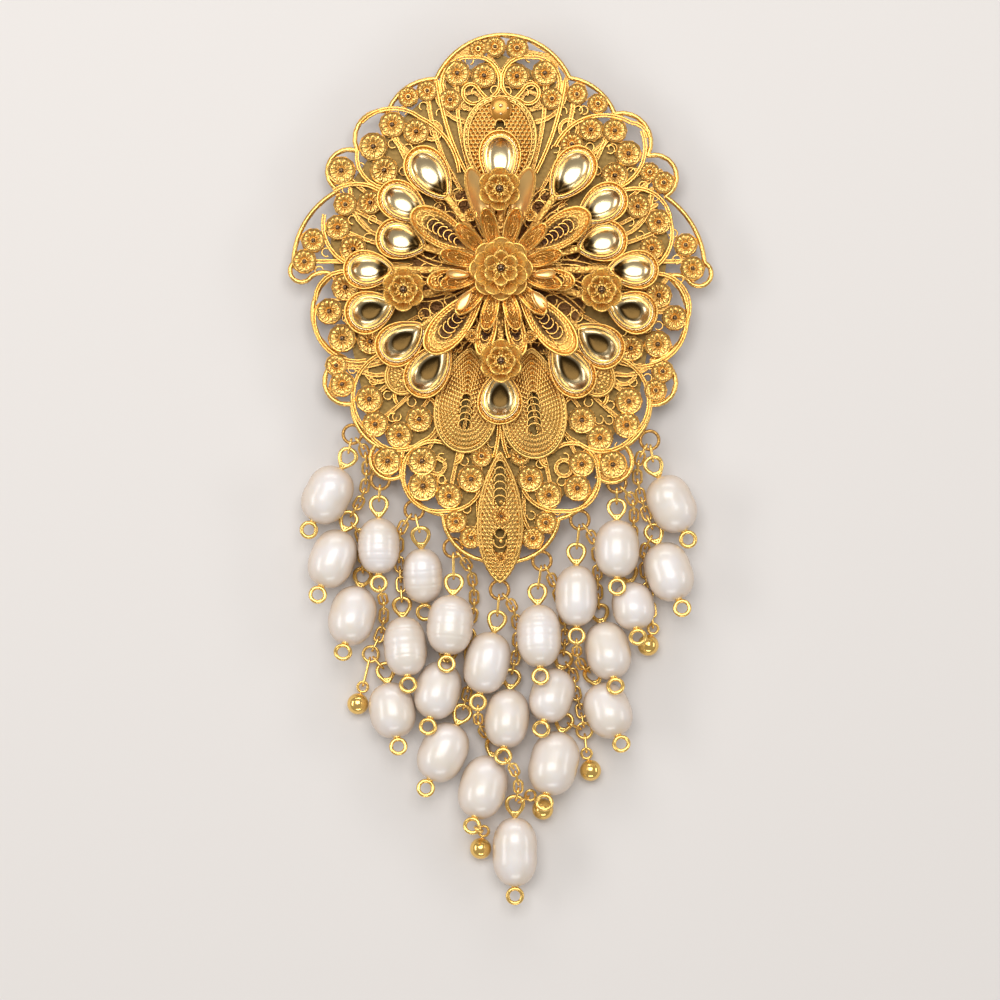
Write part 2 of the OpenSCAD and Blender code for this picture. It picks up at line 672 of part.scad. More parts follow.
// U-shaped filigree petals of the second tier: tip x, y, width on the chart
LOOPED = [
    [413, 213, 32], [588, 214, 32], [428, 352, 34], [573, 353, 34],
    [428, 284, 20], [574, 284, 20], [470, 170, 20], [530, 170, 20],
    [481, 356, 18], [521, 356, 18],
];
looped_z = spoon_z + petal_t + laid_gap;
looped_rise = 0.9;
looped_hub_h = 1.1;
module looped_petals() {
    color(gold) {
        hub(looped_z, looped_hub_h);
        for (row = LOOPED) {
            tip = [row[0], row[1]];
            from = crown + outward(tip) * 26;
            difference() {
                aimed(from, tip, looped_z + 0.9)
                    petal(reach(from, tip), row[2] * chart_step, 0.35, looped_rise, 0.45, 1.5, 5, 4);
                if (row[2] > 30)
                    translate([0, 0, 3])
                        slot(from + outward(tip) * 24, tip - outward(tip) * 20, row[2] * 0.5);
            }
            stalk(crown + outward(tip) * 20, from + outward(tip) * 6, looped_z + 0.3, 1.0, 0.6);
        }
    }
}

// Narrow leaves of the third tier, evenly round the middle
narrow_count = 12;
narrow_tip = 62;
narrow_wide = 15;
narrow_z = looped_z + looped_hub_h + laid_gap;
narrow_hub_h = 0.9;
module narrow_leaves() {
    color(gold) {
        hub(narrow_z, narrow_hub_h, 3.4);
        for (k = [0:narrow_count - 1]) {
            way = [cos(k * 360 / narrow_count + 15), sin(k * 360 / narrow_count + 15)];
            from = crown + way * 18;
            to = crown + way * narrow_tip;
            aimed(from, to, narrow_z + 0.8)
                petal(reach(from, to), narrow_wide * chart_step, 0.3, 1.2, 0.4, 1.5, 4, 2);
            stalk(crown + way * 14, from + way * 5, narrow_z + 0.2, 0.8, 0.6);
        }
    }
}

// A flower of cupped petals in rings round a polished bead. Rings: count, reach, width,
// height of the foot, rise to the tip, first angle
module flower(place, z, rings, bead) {
    base_h = 0.5;
    translate([at(place)[0], at(place)[1], z]) {
        cylinder(h = base_h, r = 1.3);
        for (ring = rings) {
            cylinder(h = ring[3] + 0.1, r = 0.9);
            for (k = [0:ring[0] - 1])
                rotate(ring[5] + k * 360 / ring[0]) {
                    translate([0, 0.35, ring[3]])
                        petal(ring[1] - 0.35, ring[2], 0.35, ring[4], 0.3, 1.5, 3, 2);
                    translate([-0.25, 0, ring[3] - 0.5])
                        cube([0.5, 1.1, 0.35]);
                }
        }
        translate([0, 0, rings[len(rings) - 1][3] + 0.35])
            sphere(bead);
    }
}
flower_r = 21 * chart_step;
small_rings = [
    [6, flower_r, 2.3, 1.0, 0.7, 0],
    [6, flower_r * 0.66, 1.7, 1.9, 0.9, 30],
];
side_flower_z = looped_z + 1.3;
module top_flower() { color(deep_gold) flower([499.5, 191.5], side_flower_z, small_rings, 0.55); }
module left_flower() { color(deep_gold) flower([404, 291], side_flower_z - 0.9, small_rings, 0.55); }
module right_flower() { color(deep_gold) flower([601, 291.5], side_flower_z - 0.9, small_rings, 0.55); }
module bottom_flower() { color(deep_gold) flower([501, 362], side_flower_z, small_rings, 0.55); }
module centre_flower() {
    color(deep_gold)
        flower(crown, narrow_z + narrow_hub_h + laid_gap, [
            [8, 31 * chart_step, 2.9, 0.9, 0.5, 0],
            [8, 27 * chart_step, 2.5, 2.0, 0.8, 22.5],
            [6, 17 * chart_step, 1.8, 3.0, 0.9, 0],
        ], 0.6);
}

// One line for each node
pin_and_catch();
back_plate();
openwork_plate();
woven_top_petal();
woven_lower_left_petal();
woven_lower_right_petal();
woven_small_left_petal();
woven_small_right_petal();
bottom_leaf();
spoon_petals();
looped_petals();
narrow_leaves();
top_flower();
left_flower();
right_flower();
bottom_flower();
centre_flower();
for (n = [1:9])
    strand(n);
for (n = [1:24])
    pearl(n);
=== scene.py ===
# Filigree brooch that lies on its back, seen from straight above
import math
import bpy
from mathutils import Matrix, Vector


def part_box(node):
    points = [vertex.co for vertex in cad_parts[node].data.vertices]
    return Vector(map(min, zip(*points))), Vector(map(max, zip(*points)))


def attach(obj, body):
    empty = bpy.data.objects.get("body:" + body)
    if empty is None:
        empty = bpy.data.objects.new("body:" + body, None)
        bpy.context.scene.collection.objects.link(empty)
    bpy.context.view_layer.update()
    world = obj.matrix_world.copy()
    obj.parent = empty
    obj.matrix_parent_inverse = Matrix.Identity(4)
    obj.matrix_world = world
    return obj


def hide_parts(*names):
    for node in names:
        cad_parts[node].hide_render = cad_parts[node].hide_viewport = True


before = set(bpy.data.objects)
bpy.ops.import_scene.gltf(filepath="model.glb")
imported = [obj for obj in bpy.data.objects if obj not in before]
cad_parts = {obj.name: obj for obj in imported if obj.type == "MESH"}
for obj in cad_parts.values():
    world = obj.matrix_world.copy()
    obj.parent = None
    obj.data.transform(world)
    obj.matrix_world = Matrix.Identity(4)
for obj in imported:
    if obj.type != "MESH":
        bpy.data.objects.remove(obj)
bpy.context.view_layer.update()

# Camera and studio. The brooch is looked at from straight above, on a pale and plain floor.
# A broad soft light hangs overhead, and a long weak one stands at each of the four sides.
MM = 0.001
chart_step = 0.13
chart_mid = (500.815, 468.87)


def at(x, y, z=0.0):
    """Place in metres of a chart place, with its height in millimetres"""
    return ((x - chart_mid[0]) * chart_step * MM, (chart_mid[1] - y) * chart_step * MM, z * MM)


view_height = 0.62
frame_width = 1000 * chart_step * MM
focus_height = 0.005
sensor = 36
camera_x, camera_y, _ = at(500, 500)
bpy.ops.object.select_all(action="DESELECT")
bpy.ops.object.camera_add(location=(camera_x, camera_y, view_height), rotation=(0, 0, 0))
camera = bpy.context.object
camera.data.sensor_width = sensor
camera.data.lens = sensor * (view_height - focus_height) / frame_width
camera.data.clip_start = 0.01
bpy.context.scene.camera = camera

bpy.ops.mesh.primitive_plane_add(size=1.6, location=(0, 0, 0))
floor = bpy.context.object
floor.name = "floor"
floor_look = bpy.data.materials.new("pale_floor")
floor_look.use_nodes = True
floor_look.node_tree.nodes["Principled BSDF"].inputs["Base Color"].default_value = (0.70, 0.67, 0.65, 1)
floor_look.node_tree.nodes["Principled BSDF"].inputs["Roughness"].default_value = 0.6
floor.data.materials.append(floor_look)

# name, place, turn in degrees about X and Y, width, length, watts
LIGHTS = [
    ("key_light", (-0.02, 0.17, 0.56), (-17, -2), 0.44, 0.30, 2.1),
    ("far_light", (0.00, 0.48, 0.22), (-66, 0), 0.50, 0.10, 0.7),
    ("left_light", (-0.46, 0.04, 0.28), (0, -58), 0.12, 0.40, 0.75),
    ("right_light", (0.50, 0.02, 0.24), (0, 64), 0.10, 0.34, 0.45),
    ("low_light", (0.03, -0.42, 0.20), (64, 0), 0.30, 0.08, 0.35),
]
for name, place, turn, wide, long, watts in LIGHTS:
    bpy.ops.object.light_add(type="AREA", location=place)
    light = bpy.context.object
    light.name = name
    light.data.shape = "RECTANGLE"
    light.data.size = wide
    light.data.size_y = long
    light.data.energy = watts
    light.rotation_euler = (math.radians(turn[0]), math.radians(turn[1]), 0)
bpy.context.scene.world = bpy.data.worlds.new("soft_studio")
bpy.context.scene.world.use_nodes = True
background = bpy.context.scene.world.node_tree.nodes["Background"]
background.inputs["Color"].default_value = (1.0, 0.95, 0.88, 1)
background.inputs["Strength"].default_value = 0.30
bpy.context.scene.view_settings.view_transform = "Standard"

# Back plate and pin. The plate is smooth gilded sheet whose dark khaki colour is painted shade, as it
# lies under the openwork and shows through its holes. Behind it the pin is a plain stem between two
# blocks.


def clouded(name, scale, detail, dark, light):
    """A material whose colour drifts in soft clouds, from a dark stop to a light one"""
    look = bpy.data.materials.new(name)
    look.use_nodes = True
    nodes, links = look.node_tree.nodes, look.node_tree.links
    place = nodes.new("ShaderNodeTexCoord")
    cloud = nodes.new("ShaderNodeTexNoise")
    cloud.inputs["Scale"].default_value = scale
    cloud.inputs["Detail"].default_value = detail
    links.new(place.outputs["Object"], cloud.inputs["Vector"])
    ramp = nodes.new("ShaderNodeValToRGB")
    for stop, (position, colour) in zip(ramp.color_ramp.elements, (dark, light)):
        stop.position = position
        stop.color = list(colour) + [1]
    links.new(cloud.outputs["Fac"], ramp.inputs["Fac"])
    links.new(ramp.outputs["Color"], nodes["Principled BSDF"].inputs["Base Color"])
    return look, place, cloud


def gold(name, colour, roughness, grain=0.0, grain_size=0.4, stain=0.12, metal=1.0):
    """Gilded metal: a base colour that varies a little, and a fine grain in its surface"""
    look, place, cloud = clouded(name, 420, 3, (0.3, [c * (1 - stain) for c in colour]),
                                 (0.7, [min(1, c * (1 + stain * 0.5)) for c in colour]))
    nodes, links = look.node_tree.nodes, look.node_tree.links
    shader = nodes["Principled BSDF"]
    shader.inputs["Metallic"].default_value = metal
    wear = nodes.new("ShaderNodeMapRange")
    wear.inputs["To Min"].default_value = roughness * 0.8
    wear.inputs["To Max"].default_value = roughness * 1.25
    links.new(cloud.outputs["Fac"], wear.inputs["Value"])
    links.new(wear.outputs["Result"], shader.inputs["Roughness"])
    if grain:
        pits = nodes.new("ShaderNodeTexVoronoi")
        pits.inputs["Scale"].default_value = 1 / (grain_size * MM)
        links.new(place.outputs["Object"], pits.inputs["Vector"])
        bump = nodes.new("ShaderNodeBump")
        bump.inputs["Strength"].default_value = grain
        bump.inputs["Distance"].default_value = grain_size * MM * 0.6
        links.new(pits.outputs["Distance"], bump.inputs["Height"])
        links.new(bump.outputs["Normal"], shader.inputs["Normal"])
    return look


def finish_node(name, look):
    """Gives a CAD node its finish"""
    thing = bpy.data.objects[name]
    thing.data.materials.clear()
    thing.data.materials.append(look)


# painted shade: the sheet's gold is darkened to khaki for the shade under the openwork
sheet_gold_painted_shade = gold("sheet_gold_painted_shade", (0.27, 0.17, 0.055), 0.5, 0.12, 0.5, stain=0.25)
finish_node("back_plate", sheet_gold_painted_shade)
pin_gold = gold("pin_gold", (0.78, 0.54, 0.20), 0.28)
finish_node("pin_and_catch", pin_gold)

# Openwork plate. Its pierced ground is flat gilded wire, and it stays as it is. A pair of thin
# round wires is soldered along every arc of it, and a thicker one stands round the rim.


def deepened(look, factor, colour):
    """Turns the base colour of a material to another one where a factor is high"""
    nodes, links = look.node_tree.nodes, look.node_tree.links
    base = nodes["Principled BSDF"].inputs["Base Color"]
    mix = nodes.new("ShaderNodeMix")
    mix.data_type = "RGBA"
    mix.inputs["B"].default_value = colour + (1,)
    links.new(factor, mix.inputs["Factor"])
    links.new(base.links[0].from_socket, mix.inputs["A"])
    links.new(mix.outputs["Result"], base)


openwork_top = 3.8
wire_gold = gold("wire_gold", (0.52, 0.28, 0.07), 0.3, 0.35, 0.3, metal=0.8)
finish_node("openwork_plate", wire_gold)
nodes, links = wire_gold.node_tree.nodes, wire_gold.node_tree.links
# brighter on the dishes under the daisies, which stand just above the flat wires
height = nodes.new("ShaderNodeSeparateXYZ")
links.new(nodes["Texture Coordinate"].outputs["Object"], height.inputs["Vector"])
dish = nodes.new("ShaderNodeMapRange")
dish.inputs["From Min"].default_value = 3.81 * MM
dish.inputs["From Max"].default_value = 3.86 * MM
links.new(height.outputs["Z"], dish.inputs["Value"])
deepened(wire_gold, dish.outputs["Result"], (0.88, 0.56, 0.17))

# dark in the shadow of the petals
crown = (501, 271)
disc_r = 92
away = nodes.new("ShaderNodeVectorMath")
away.operation = "DISTANCE"
away.inputs[1].default_value = at(*crown, openwork_top)
links.new(nodes["Texture Coordinate"].outputs["Object"], away.inputs[0])
under = nodes.new("ShaderNodeMapRange")
under.inputs["From Min"].default_value = (disc_r + 1) * chart_step * MM
under.inputs["From Max"].default_value = (disc_r - 4) * chart_step * MM
links.new(away.outputs["Value"], under.inputs["Value"])
deepened(wire_gold, under.outputs["Result"], (0.09, 0.036, 0.007))
bright_wire = gold("bright_wire", (0.92, 0.555, 0.15), 0.22, 0.12, 0.25, stain=0.08, metal=0.9)

# start x, y, middle x, y, end x, y on the chart
RIM = [
    (436, 78, 500, 34, 570, 77), (436, 78, 405, 88, 388, 110), (388, 110, 360, 121, 357, 150),
    (357, 150, 327, 168, 338, 190), (338, 190, 312, 211, 293, 262), (293, 262, 295, 280, 311, 276),
    (311, 276, 320, 272, 332, 274), (332, 274, 312, 315, 345, 358), (345, 358, 324, 380, 352, 404),
    (352, 400, 364, 436, 402, 451), (375, 445, 376, 473, 404, 474), (402, 451, 411, 497, 443, 515),
    (443, 515, 456, 546, 482, 560), (482, 560, 493, 567, 500, 580), (570, 77, 600, 91, 615, 113),
    (615, 113, 644, 122, 648, 155), (648, 155, 677, 180, 666, 196), (666, 196, 688, 217, 705, 262),
    (705, 262, 704, 285, 688, 279), (688, 279, 680, 275, 669, 276), (669, 276, 688, 320, 652, 362),
    (652, 360, 676, 378, 652, 405), (651, 401, 640, 434, 600, 453), (626, 446, 627, 476, 597, 477),
    (600, 453, 589, 500, 559, 519), (559, 519, 546, 546, 518, 561), (518, 561, 507, 567, 500, 580),
]
# middle and end of the stems of the left half, which spring from the middle disc
STEMS = [
    (462, 140, 457, 72), (437, 140, 427, 90), (412, 170, 392, 124), (400, 190, 373, 146),
    (385, 206, 341, 170), (392, 228, 345, 204), (380, 244, 337, 227), (370, 262, 304, 261),
    (380, 288, 345, 287), (380, 308, 329, 311), (392, 330, 370, 341), (388, 360, 337, 366),
    (400, 374, 369, 399), (412, 392, 375, 424), (432, 394, 399, 435), (450, 405, 422, 461),
    (468, 410, 449, 496), (486, 420, 482, 456),
]
SCROLLS = [
    (482, 456, 478, 500, 486, 562), (436, 78, 446, 112, 470, 122), (388, 110, 402, 148, 437, 158),
    (350, 188, 360, 222, 395, 238), (332, 274, 356, 296, 392, 296), (345, 358, 362, 372, 392, 372),
]
# Arched double wires that bound the groups of daisies, with the two heart loops at the top
ARCHES = [
    (361, 122, 389, 108, 420, 117), (420, 117, 446, 138, 459, 172), (357, 150, 363, 175, 384, 188),
    (333, 190, 364, 184, 395, 207), (324, 214, 327, 243, 351, 265), (315, 300, 333, 273, 364, 279),
    (555, 146, 585, 118, 631, 122), (631, 122, 645, 129, 649, 137), (642, 130, 642, 164, 621, 186),
    (612, 197, 648, 190, 671, 222), (671, 222, 669, 250, 650, 270), (640, 277, 672, 277, 687, 321),
    (687, 321, 676, 350, 644, 366), (437, 80, 447, 126, 466, 172), (565, 80, 555, 126, 536, 172),
    (315, 308, 324, 346, 366, 360), (382, 353, 353, 390, 369, 433), (369, 433, 395, 450, 421, 442),
    (421, 442, 439, 418, 412, 391), (412, 391, 397, 390, 397, 403), (451, 446, 412, 450, 403, 472),
    (403, 472, 412, 500, 445, 511), (445, 511, 467, 506, 480, 492), (451, 446, 462, 453, 455, 463),
    (621, 359, 648, 390, 634, 435), (634, 435, 607, 451, 577, 442), (577, 442, 560, 416, 590, 392),
    (590, 392, 604, 390, 604, 404), (551, 453, 586, 447, 598, 470), (598, 470, 592, 500, 562, 511),
    (562, 511, 540, 507, 523, 490), (551, 453, 541, 457, 547, 466), (499, 420, 498, 438, 494, 458),
    (502, 420, 503, 438, 508, 458), (470, 537, 478, 524, 481, 508), (534, 537, 526, 524, 521, 508),
    (443, 92, 452, 62, 472, 56.5), (472, 56.5, 494, 64, 500, 80), (500, 80, 494, 95, 482, 99.5),
    (482, 99.5, 466, 100, 463, 92), (463, 92, 468, 84, 478, 88), (478, 88, 482, 93, 487, 98),
    (559, 92, 550, 62, 530, 56.5), (530, 56.5, 508, 64, 502, 80), (502, 80, 508, 95, 520, 99.5),
    (520, 99.5, 536, 100, 539, 92), (539, 92, 534, 84, 524, 88), (524, 88, 520, 93, 515, 98),
]
# x, y, radius on the chart
LOOPS = [
    (432, 130, 9), (569, 128, 9),
    (404, 208, 16), (598, 208, 16), (410, 455, 8), (590, 458, 8), (378, 370, 12), (624, 372, 12),
    (437, 466, 8), (564, 468, 8),
]


def arc_through(row):
    """Centre, radius, start angle and sweep of the arc through three chart places, in metres"""
    (ax, ay, _), (bx, by, _), (cx, cy, _) = at(*row[0:2]), at(*row[2:4]), at(*row[4:6])
    d = 2 * (ax * (by - cy) + bx * (cy - ay) + cx * (ay - by))
    aa, bb, cc = ax * ax + ay * ay, bx * bx + by * by, cx * cx + cy * cy
    mx = (aa * (by - cy) + bb * (cy - ay) + cc * (ay - by)) / d
    my = (aa * (cx - bx) + bb * (ax - cx) + cc * (bx - ax)) / d
    start = math.atan2(ay - my, ax - mx)
    to_b = (math.atan2(by - my, bx - mx) - start) % math.tau
    to_c = (math.atan2(cy - my, cx - mx) - start) % math.tau
    sweep = to_c if to_b < to_c else to_c - math.tau
    return mx, my, math.hypot(ax - mx, ay - my), start, sweep


def open_mesh():
    """Opens the active mesh in edit mode, with all of it selected"""
    bpy.ops.object.mode_set(mode="EDIT")
    bpy.ops.mesh.select_all(action="SELECT")


def bent_wire(mx, my, r, start, sweep, height, wire, sides=6):
    """A round wire with closed ends, spun round a centre from a small disc"""
    bpy.ops.object.select_all(action="DESELECT")
    bpy.ops.mesh.primitive_circle_add(
        vertices=sides, radius=wire * MM, fill_type="NGON", rotation=(math.pi / 2, 0, start),
        location=(mx + r * math.cos(start), my + r * math.sin(start), height * MM))
    piece = bpy.context.object
    steps = max(3, round(abs(sweep) * r / MM / 1.1), round(abs(sweep) / 0.32))
    open_mesh()
    bpy.ops.mesh.spin(steps=steps, angle=-sweep, center=(mx, my, height * MM), axis=(0, 0, 1))
    bpy.ops.mesh.select_all(action="SELECT")
    bpy.ops.mesh.normals_make_consistent(inside=False)
    bpy.ops.object.mode_set(mode="OBJECT")
    return piece


def wire_pair(mx, my, r, start, sweep, gap, height, wire):
    """Two round wires side by side, a gap to each side of an arc"""
    return [bent_wire(mx, my, r + side * gap * MM, start, sweep, height, wire) for side in (-1, 1)]


def joined(pieces, name, look):
    """Joins loose meshes into one smooth piece whose object sits at the origin"""
    bpy.ops.object.select_all(action="DESELECT")
    for piece in pieces:
        piece.select_set(True)
    bpy.context.view_layer.objects.active = pieces[0]
    if len(pieces) > 1:
        bpy.ops.object.join()
    whole = bpy.context.object
    bpy.ops.object.transform_apply(location=True, rotation=True, scale=True)
    bpy.ops.object.shade_smooth_by_angle(angle=math.radians(66))
    whole.name = name
    whole.data.materials.clear()
    whole.data.materials.append(look)
    return whole


def mirrored(row):
    """The same chart row on the right half of the brooch"""
    return tuple(2 * crown[0] - value if k % 2 == 0 else value for k, value in enumerate(row))


def heading(turn):
    """Unit step on the chart at an angle"""
    return math.cos(turn), math.sin(turn)


def along(place, way, distance):
    """The chart place at a distance from another one, in the direction of a unit step"""
    return place[0] + way[0] * distance, place[1] + way[1] * distance


def stem_arc(row):
    """Full arc of a stem, from the edge of the middle disc"""
    dx, dy = row[0] - crown[0], row[1] - crown[1]
    return along(crown, (dx, dy), (disc_r - 3) / math.hypot(dx, dy)) + tuple(row)


# half the gap, height over the ground and radius of the wires of each kind
stem_pair = (0.19, openwork_top + 0.03, 0.13)
arch_pair = (0.16, openwork_top + 0.3, 0.16)
fan_z = openwork_top + 0.12
fan_pair = (0.3, fan_z, 0.16)
coil_wire = 0.15
rim_wire = 0.3
wires = []
for row in [stem_arc(r) for r in STEMS] + [stem_arc(mirrored(r)) for r in STEMS] + SCROLLS + \
        [mirrored(r) for r in SCROLLS]:
    wires += wire_pair(*arc_through(row), *stem_pair)
for row in ARCHES:
    wires += wire_pair(*arc_through(row), *arch_pair)
for x, y, r in LOOPS:
    mx, my, _ = at(x, y)
    wires += wire_pair(mx, my, r * chart_step * MM, 0, math.tau * 0.999, *stem_pair)
# a fan of arcs with open coils between them, deep under the petals
for k in range(24):
    turn = math.radians(k * 15 + 7)
    near, far = along(crown, heading(turn), 36), along(crown, heading(turn + 0.1), 93)
    middle = ((near[0] + far[0]) / 2 + 5 * math.sin(turn), (near[1] + far[1]) / 2 - 5 * math.cos(turn))
    wires += wire_pair(*arc_through(near + middle + far), *fan_pair)
    for distance, radius in ((58, 0.8), (74, 0.95), (88, 0.8)):
        mx, my, _ = at(*along(crown, heading(turn + 0.15), distance))
        wires.append(bent_wire(mx, my, radius * MM, k * 1.3, math.radians(300), fan_z, coil_wire))
stem_wires = joined(wires, "openwork_wires", bright_wire)
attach(stem_wires, "root")

rims = [bent_wire(*arc_through(row), openwork_top + 0.02, rim_wire, 8) for row in RIM]
rim = joined(rims, "rim_wires", bright_wire)
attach(rim, "root")

# Daisies. Each is a coil of twelve flat wire loops round a small polished bead, inside a ring
# of wire. One is made, and a copy of it is soldered on each dish of the openwork.
DAISIES = [
    (478, 48, 9), (495, 46, 10.5), (517, 47, 11), (457, 72.5, 13), (484, 75, 12.5),
    (517, 75.5, 12.5), (545, 72.5, 13), (450, 99, 11), (552, 98, 11), (408, 96, 10),
    (427, 90, 10.5), (577, 93.5, 10.5), (598, 103, 10), (392, 124, 13), (416, 131, 13),
    (373, 146, 14), (384, 170, 14), (591, 129, 12), (615, 130, 12), (572, 143.5, 11.5),
    (628.5, 153, 13), (615, 175, 13), (341, 170, 14), (650, 171.5, 9.5), (664, 182, 11),
    (345, 204, 11.5), (370, 202, 12), (337.5, 227, 12.5), (353, 249, 13.5), (313, 240, 12),
    (304, 261, 12), (638, 206, 12), (659, 221.5, 12.5), (652, 248, 12), (686, 244.5, 11.5),
    (693, 268, 12), (345, 287, 13.5), (329, 311, 13), (342, 338, 14), (370, 341, 13),
    (659, 295, 13), (675, 317.5, 12.5), (658, 344, 13.5), (631, 348, 13), (336, 365, 11),
    (342, 384, 12.5), (663, 371, 11), (656, 390, 11), (369, 399, 13.5), (375, 424, 13),
    (399, 435, 13), (419, 419, 13), (629, 401, 13.5), (582, 420, 13.5), (627, 425, 13),
    (600, 438, 13), (387.5, 461, 14), (613, 464.5, 14), (422, 461, 14.5), (423, 486, 15),
    (449, 496, 13), (471, 479, 13.5), (481.5, 456, 11), (582, 464, 13), (577.5, 488, 13),
    (549, 495, 13), (530, 479, 13), (520, 456, 10), (456, 521.5, 11), (471, 537.5, 11),
    (546, 522.6, 11), (533, 538, 11),
]
# x, y, radius and height of those on the bottom leaf, and of four on stems beside the petals
RAISED = [
    (501, 516, 9, 5.7), (501, 558, 6, 5.4), (471, 217, 6.5, 9.4),
    (530, 217, 6.5, 9.4), (472, 337, 6.5, 9.4), (530, 338, 6.5, 9.4),
]

# Small open curls of wire are soldered beside the daisies, where there is room for them
curl_out, curl_r, curl_wire = 5.5, 0.55, 0.13
curls = []
for number, (x, y, r) in enumerate(DAISIES):
    inward = math.atan2(crown[1] - y, crown[0] - x)
    for side in (-1, 1):
        turn = inward + side * (0.75 + 0.25 * math.sin(number))
        spot = along((x, y), heading(turn), r + curl_out)
        free = all(math.dist(spot, row[:2]) > row[2] + 3 for row in DAISIES)
        if free and math.dist(spot, crown) > disc_r:
            mx, my, _ = at(*spot)
            curls.append(bent_wire(mx, my, curl_r * MM, -turn + 0.9 * side, math.radians(side * 290),
                                   openwork_top + 0.06, curl_wire))
curl_piece = joined(curls, "openwork_curls", bright_wire)
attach(curl_piece, "root")


def ball(segments, rings, radius=1.0, rotation=(0, 0, 0)):
    """A sphere at the origin, from which a bead, a cup, a dome or a pearl is worked"""
    bpy.ops.object.select_all(action="DESELECT")
    bpy.ops.mesh.primitive_uv_sphere_add(segments=segments, ring_count=rings, radius=radius,
                                         location=(0, 0, 0), rotation=rotation)
    return bpy.context.object


def fused_bead(x, y, z, size, segments=14):
    """A small ball of gold that has been fused on. The cut at its foot leaves the least ones round"""
    piece = ball(segments, segments // 2 + 1, size * MM)
    open_mesh()
    bpy.ops.mesh.bisect(plane_co=(0, 0, -0.7 * size * MM), plane_no=(0, 0, 1), clear_inner=True,
                        use_fill=True)
    bpy.ops.object.mode_set(mode="OBJECT")
    piece.location = at(x, y, z)
    return piece


def own_copy(piece, place, turn):
    """A copy with its own mesh, moved to a place and turned about Z"""
    copy = piece.copy()
    copy.data = piece.data.copy()
    bpy.context.collection.objects.link(copy)
    copy.location = place
    copy.rotation_euler = (0, 0, turn)
    return copy


daisy_rim, daisy_wire, daisy_ring_z = 1.5, 0.12, 0.40
lobes = 12
lobe = ball(8, 5, MM, (0, math.pi / 2, 0))
bpy.ops.object.transform_apply(location=True, rotation=True, scale=True)
for vertex in lobe.data.vertices:
    x, y, z = vertex.co / MM
    vertex.co = ((0.90 + 0.52 * x) * MM, y * (0.24 + 0.13 * x) * MM, (0.27 + 0.12 * x + 0.17 * z) * MM)
open_mesh()
bpy.ops.mesh.spin(steps=lobes, angle=math.tau, dupli=True, center=(0, 0, 0), axis=(0, 0, 1))
bpy.ops.mesh.select_all(action="SELECT")
bpy.ops.mesh.remove_doubles(threshold=0.002 * MM)
bpy.ops.object.mode_set(mode="OBJECT")
bpy.ops.mesh.primitive_torus_add(location=(0, 0, daisy_ring_z * MM), major_segments=24, minor_segments=5,
                                 major_radius=daisy_rim * MM, minor_radius=daisy_wire * MM)
daisy_ring = bpy.context.object
daisy_bead = fused_bead(*chart_mid, 0.46, 0.35, 10)
# painted reflection: the beads' near-black colour stands for the dark that a polished bead reflects; the
# coat gives its highlight
bead_gold_painted_reflection = gold("bead_gold_painted_reflection", (0.15, 0.075, 0.02), 0.1, stain=0.1)
bead_gold_painted_reflection.node_tree.nodes["Principled BSDF"].inputs["Coat Weight"].default_value = 1.0
daisy = joined([lobe, daisy_ring], "daisy", bright_wire)
daisy_bead = joined([daisy_bead], "daisy_bead", bead_gold_painted_reflection)
for thing, name, look in ((daisy, "daisies", bright_wire), (daisy_bead, "daisy_beads", bead_gold_painted_reflection)):
    copies = []
    for number, (x, y, r, z) in enumerate([row + (openwork_top,) for row in DAISIES] + RAISED):
        copy = own_copy(thing, at(x, y, z), number * 0.7)
        size = r * chart_step * 0.93 / daisy_rim
        copy.scale = (size, size, 1)
        copies.append(copy)
    bpy.data.objects.remove(thing)
    whole = joined(copies, name, look)
    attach(whole, "root")

# Woven petals and the bottom leaf. Each is a swollen pad of fine gilded wire, netted or
# plaited in rows that follow its edge, and it is soldered inside a frame of beaded wire.
woven_z = 4.45
petal_t = 0.35
woven_gold = gold("woven_gold", (0.77, 0.465, 0.125), 0.25, stain=0.1, metal=0.9)


def add_painted_shade(look, colour):
    """Painted shade: the colour sinks to a dark one where the piece's own depth attribute is high"""
    depth = look.node_tree.nodes.new("ShaderNodeAttribute")
    depth.attribute_name = "depth"
    deepened(look, depth.outputs["Fac"], colour)


# painted shade: the woven pads darken in the pits between the strands of the weave
add_painted_shade(woven_gold, (0.50, 0.23, 0.05))


def outline(angle, long, wide, taper, point=0.0):
    """Place on the edge of a petal that starts at the origin, with its tip along Y, in mm"""
    widest = (1 + taper) / (2 + taper + point)
    peak = widest ** ((1 + taper) / 2) * (1 - widest) ** ((1 + point) / 2)
    near, far = abs(math.sin(angle / 2)), abs(math.cos(angle / 2))
    side = math.copysign(near ** (1 + taper) * far ** (1 + point) / peak, math.sin(angle))
    return wide / 2 * side, long / 2 * (1 - math.cos(angle))


def in_petal(x, y, long, wide, taper, point=0.0):
    """Moves a place in a round disc of radius 1 into a petal's outline"""
    rho = math.hypot(x, y)
    edge = outline(math.atan2(x, -y), long, wide, taper, point)
    return rho * edge[0], long / 2 + rho * (edge[1] - long / 2), rho


def aimed(piece, start, end, height):
    """Turns a petal that was made along Y from one chart place towards another"""
    ax, ay, _ = at(*start)
    bx, by, _ = at(*end)
    piece.location = (ax, ay, height * MM)
    piece.rotation_euler = (0, 0, math.atan2(by - ay, bx - ax) - math.pi / 2)
    return piece


def reach(start, end):
    """Distance in millimetres between two chart places"""
    return math.dist(start, end) * chart_step


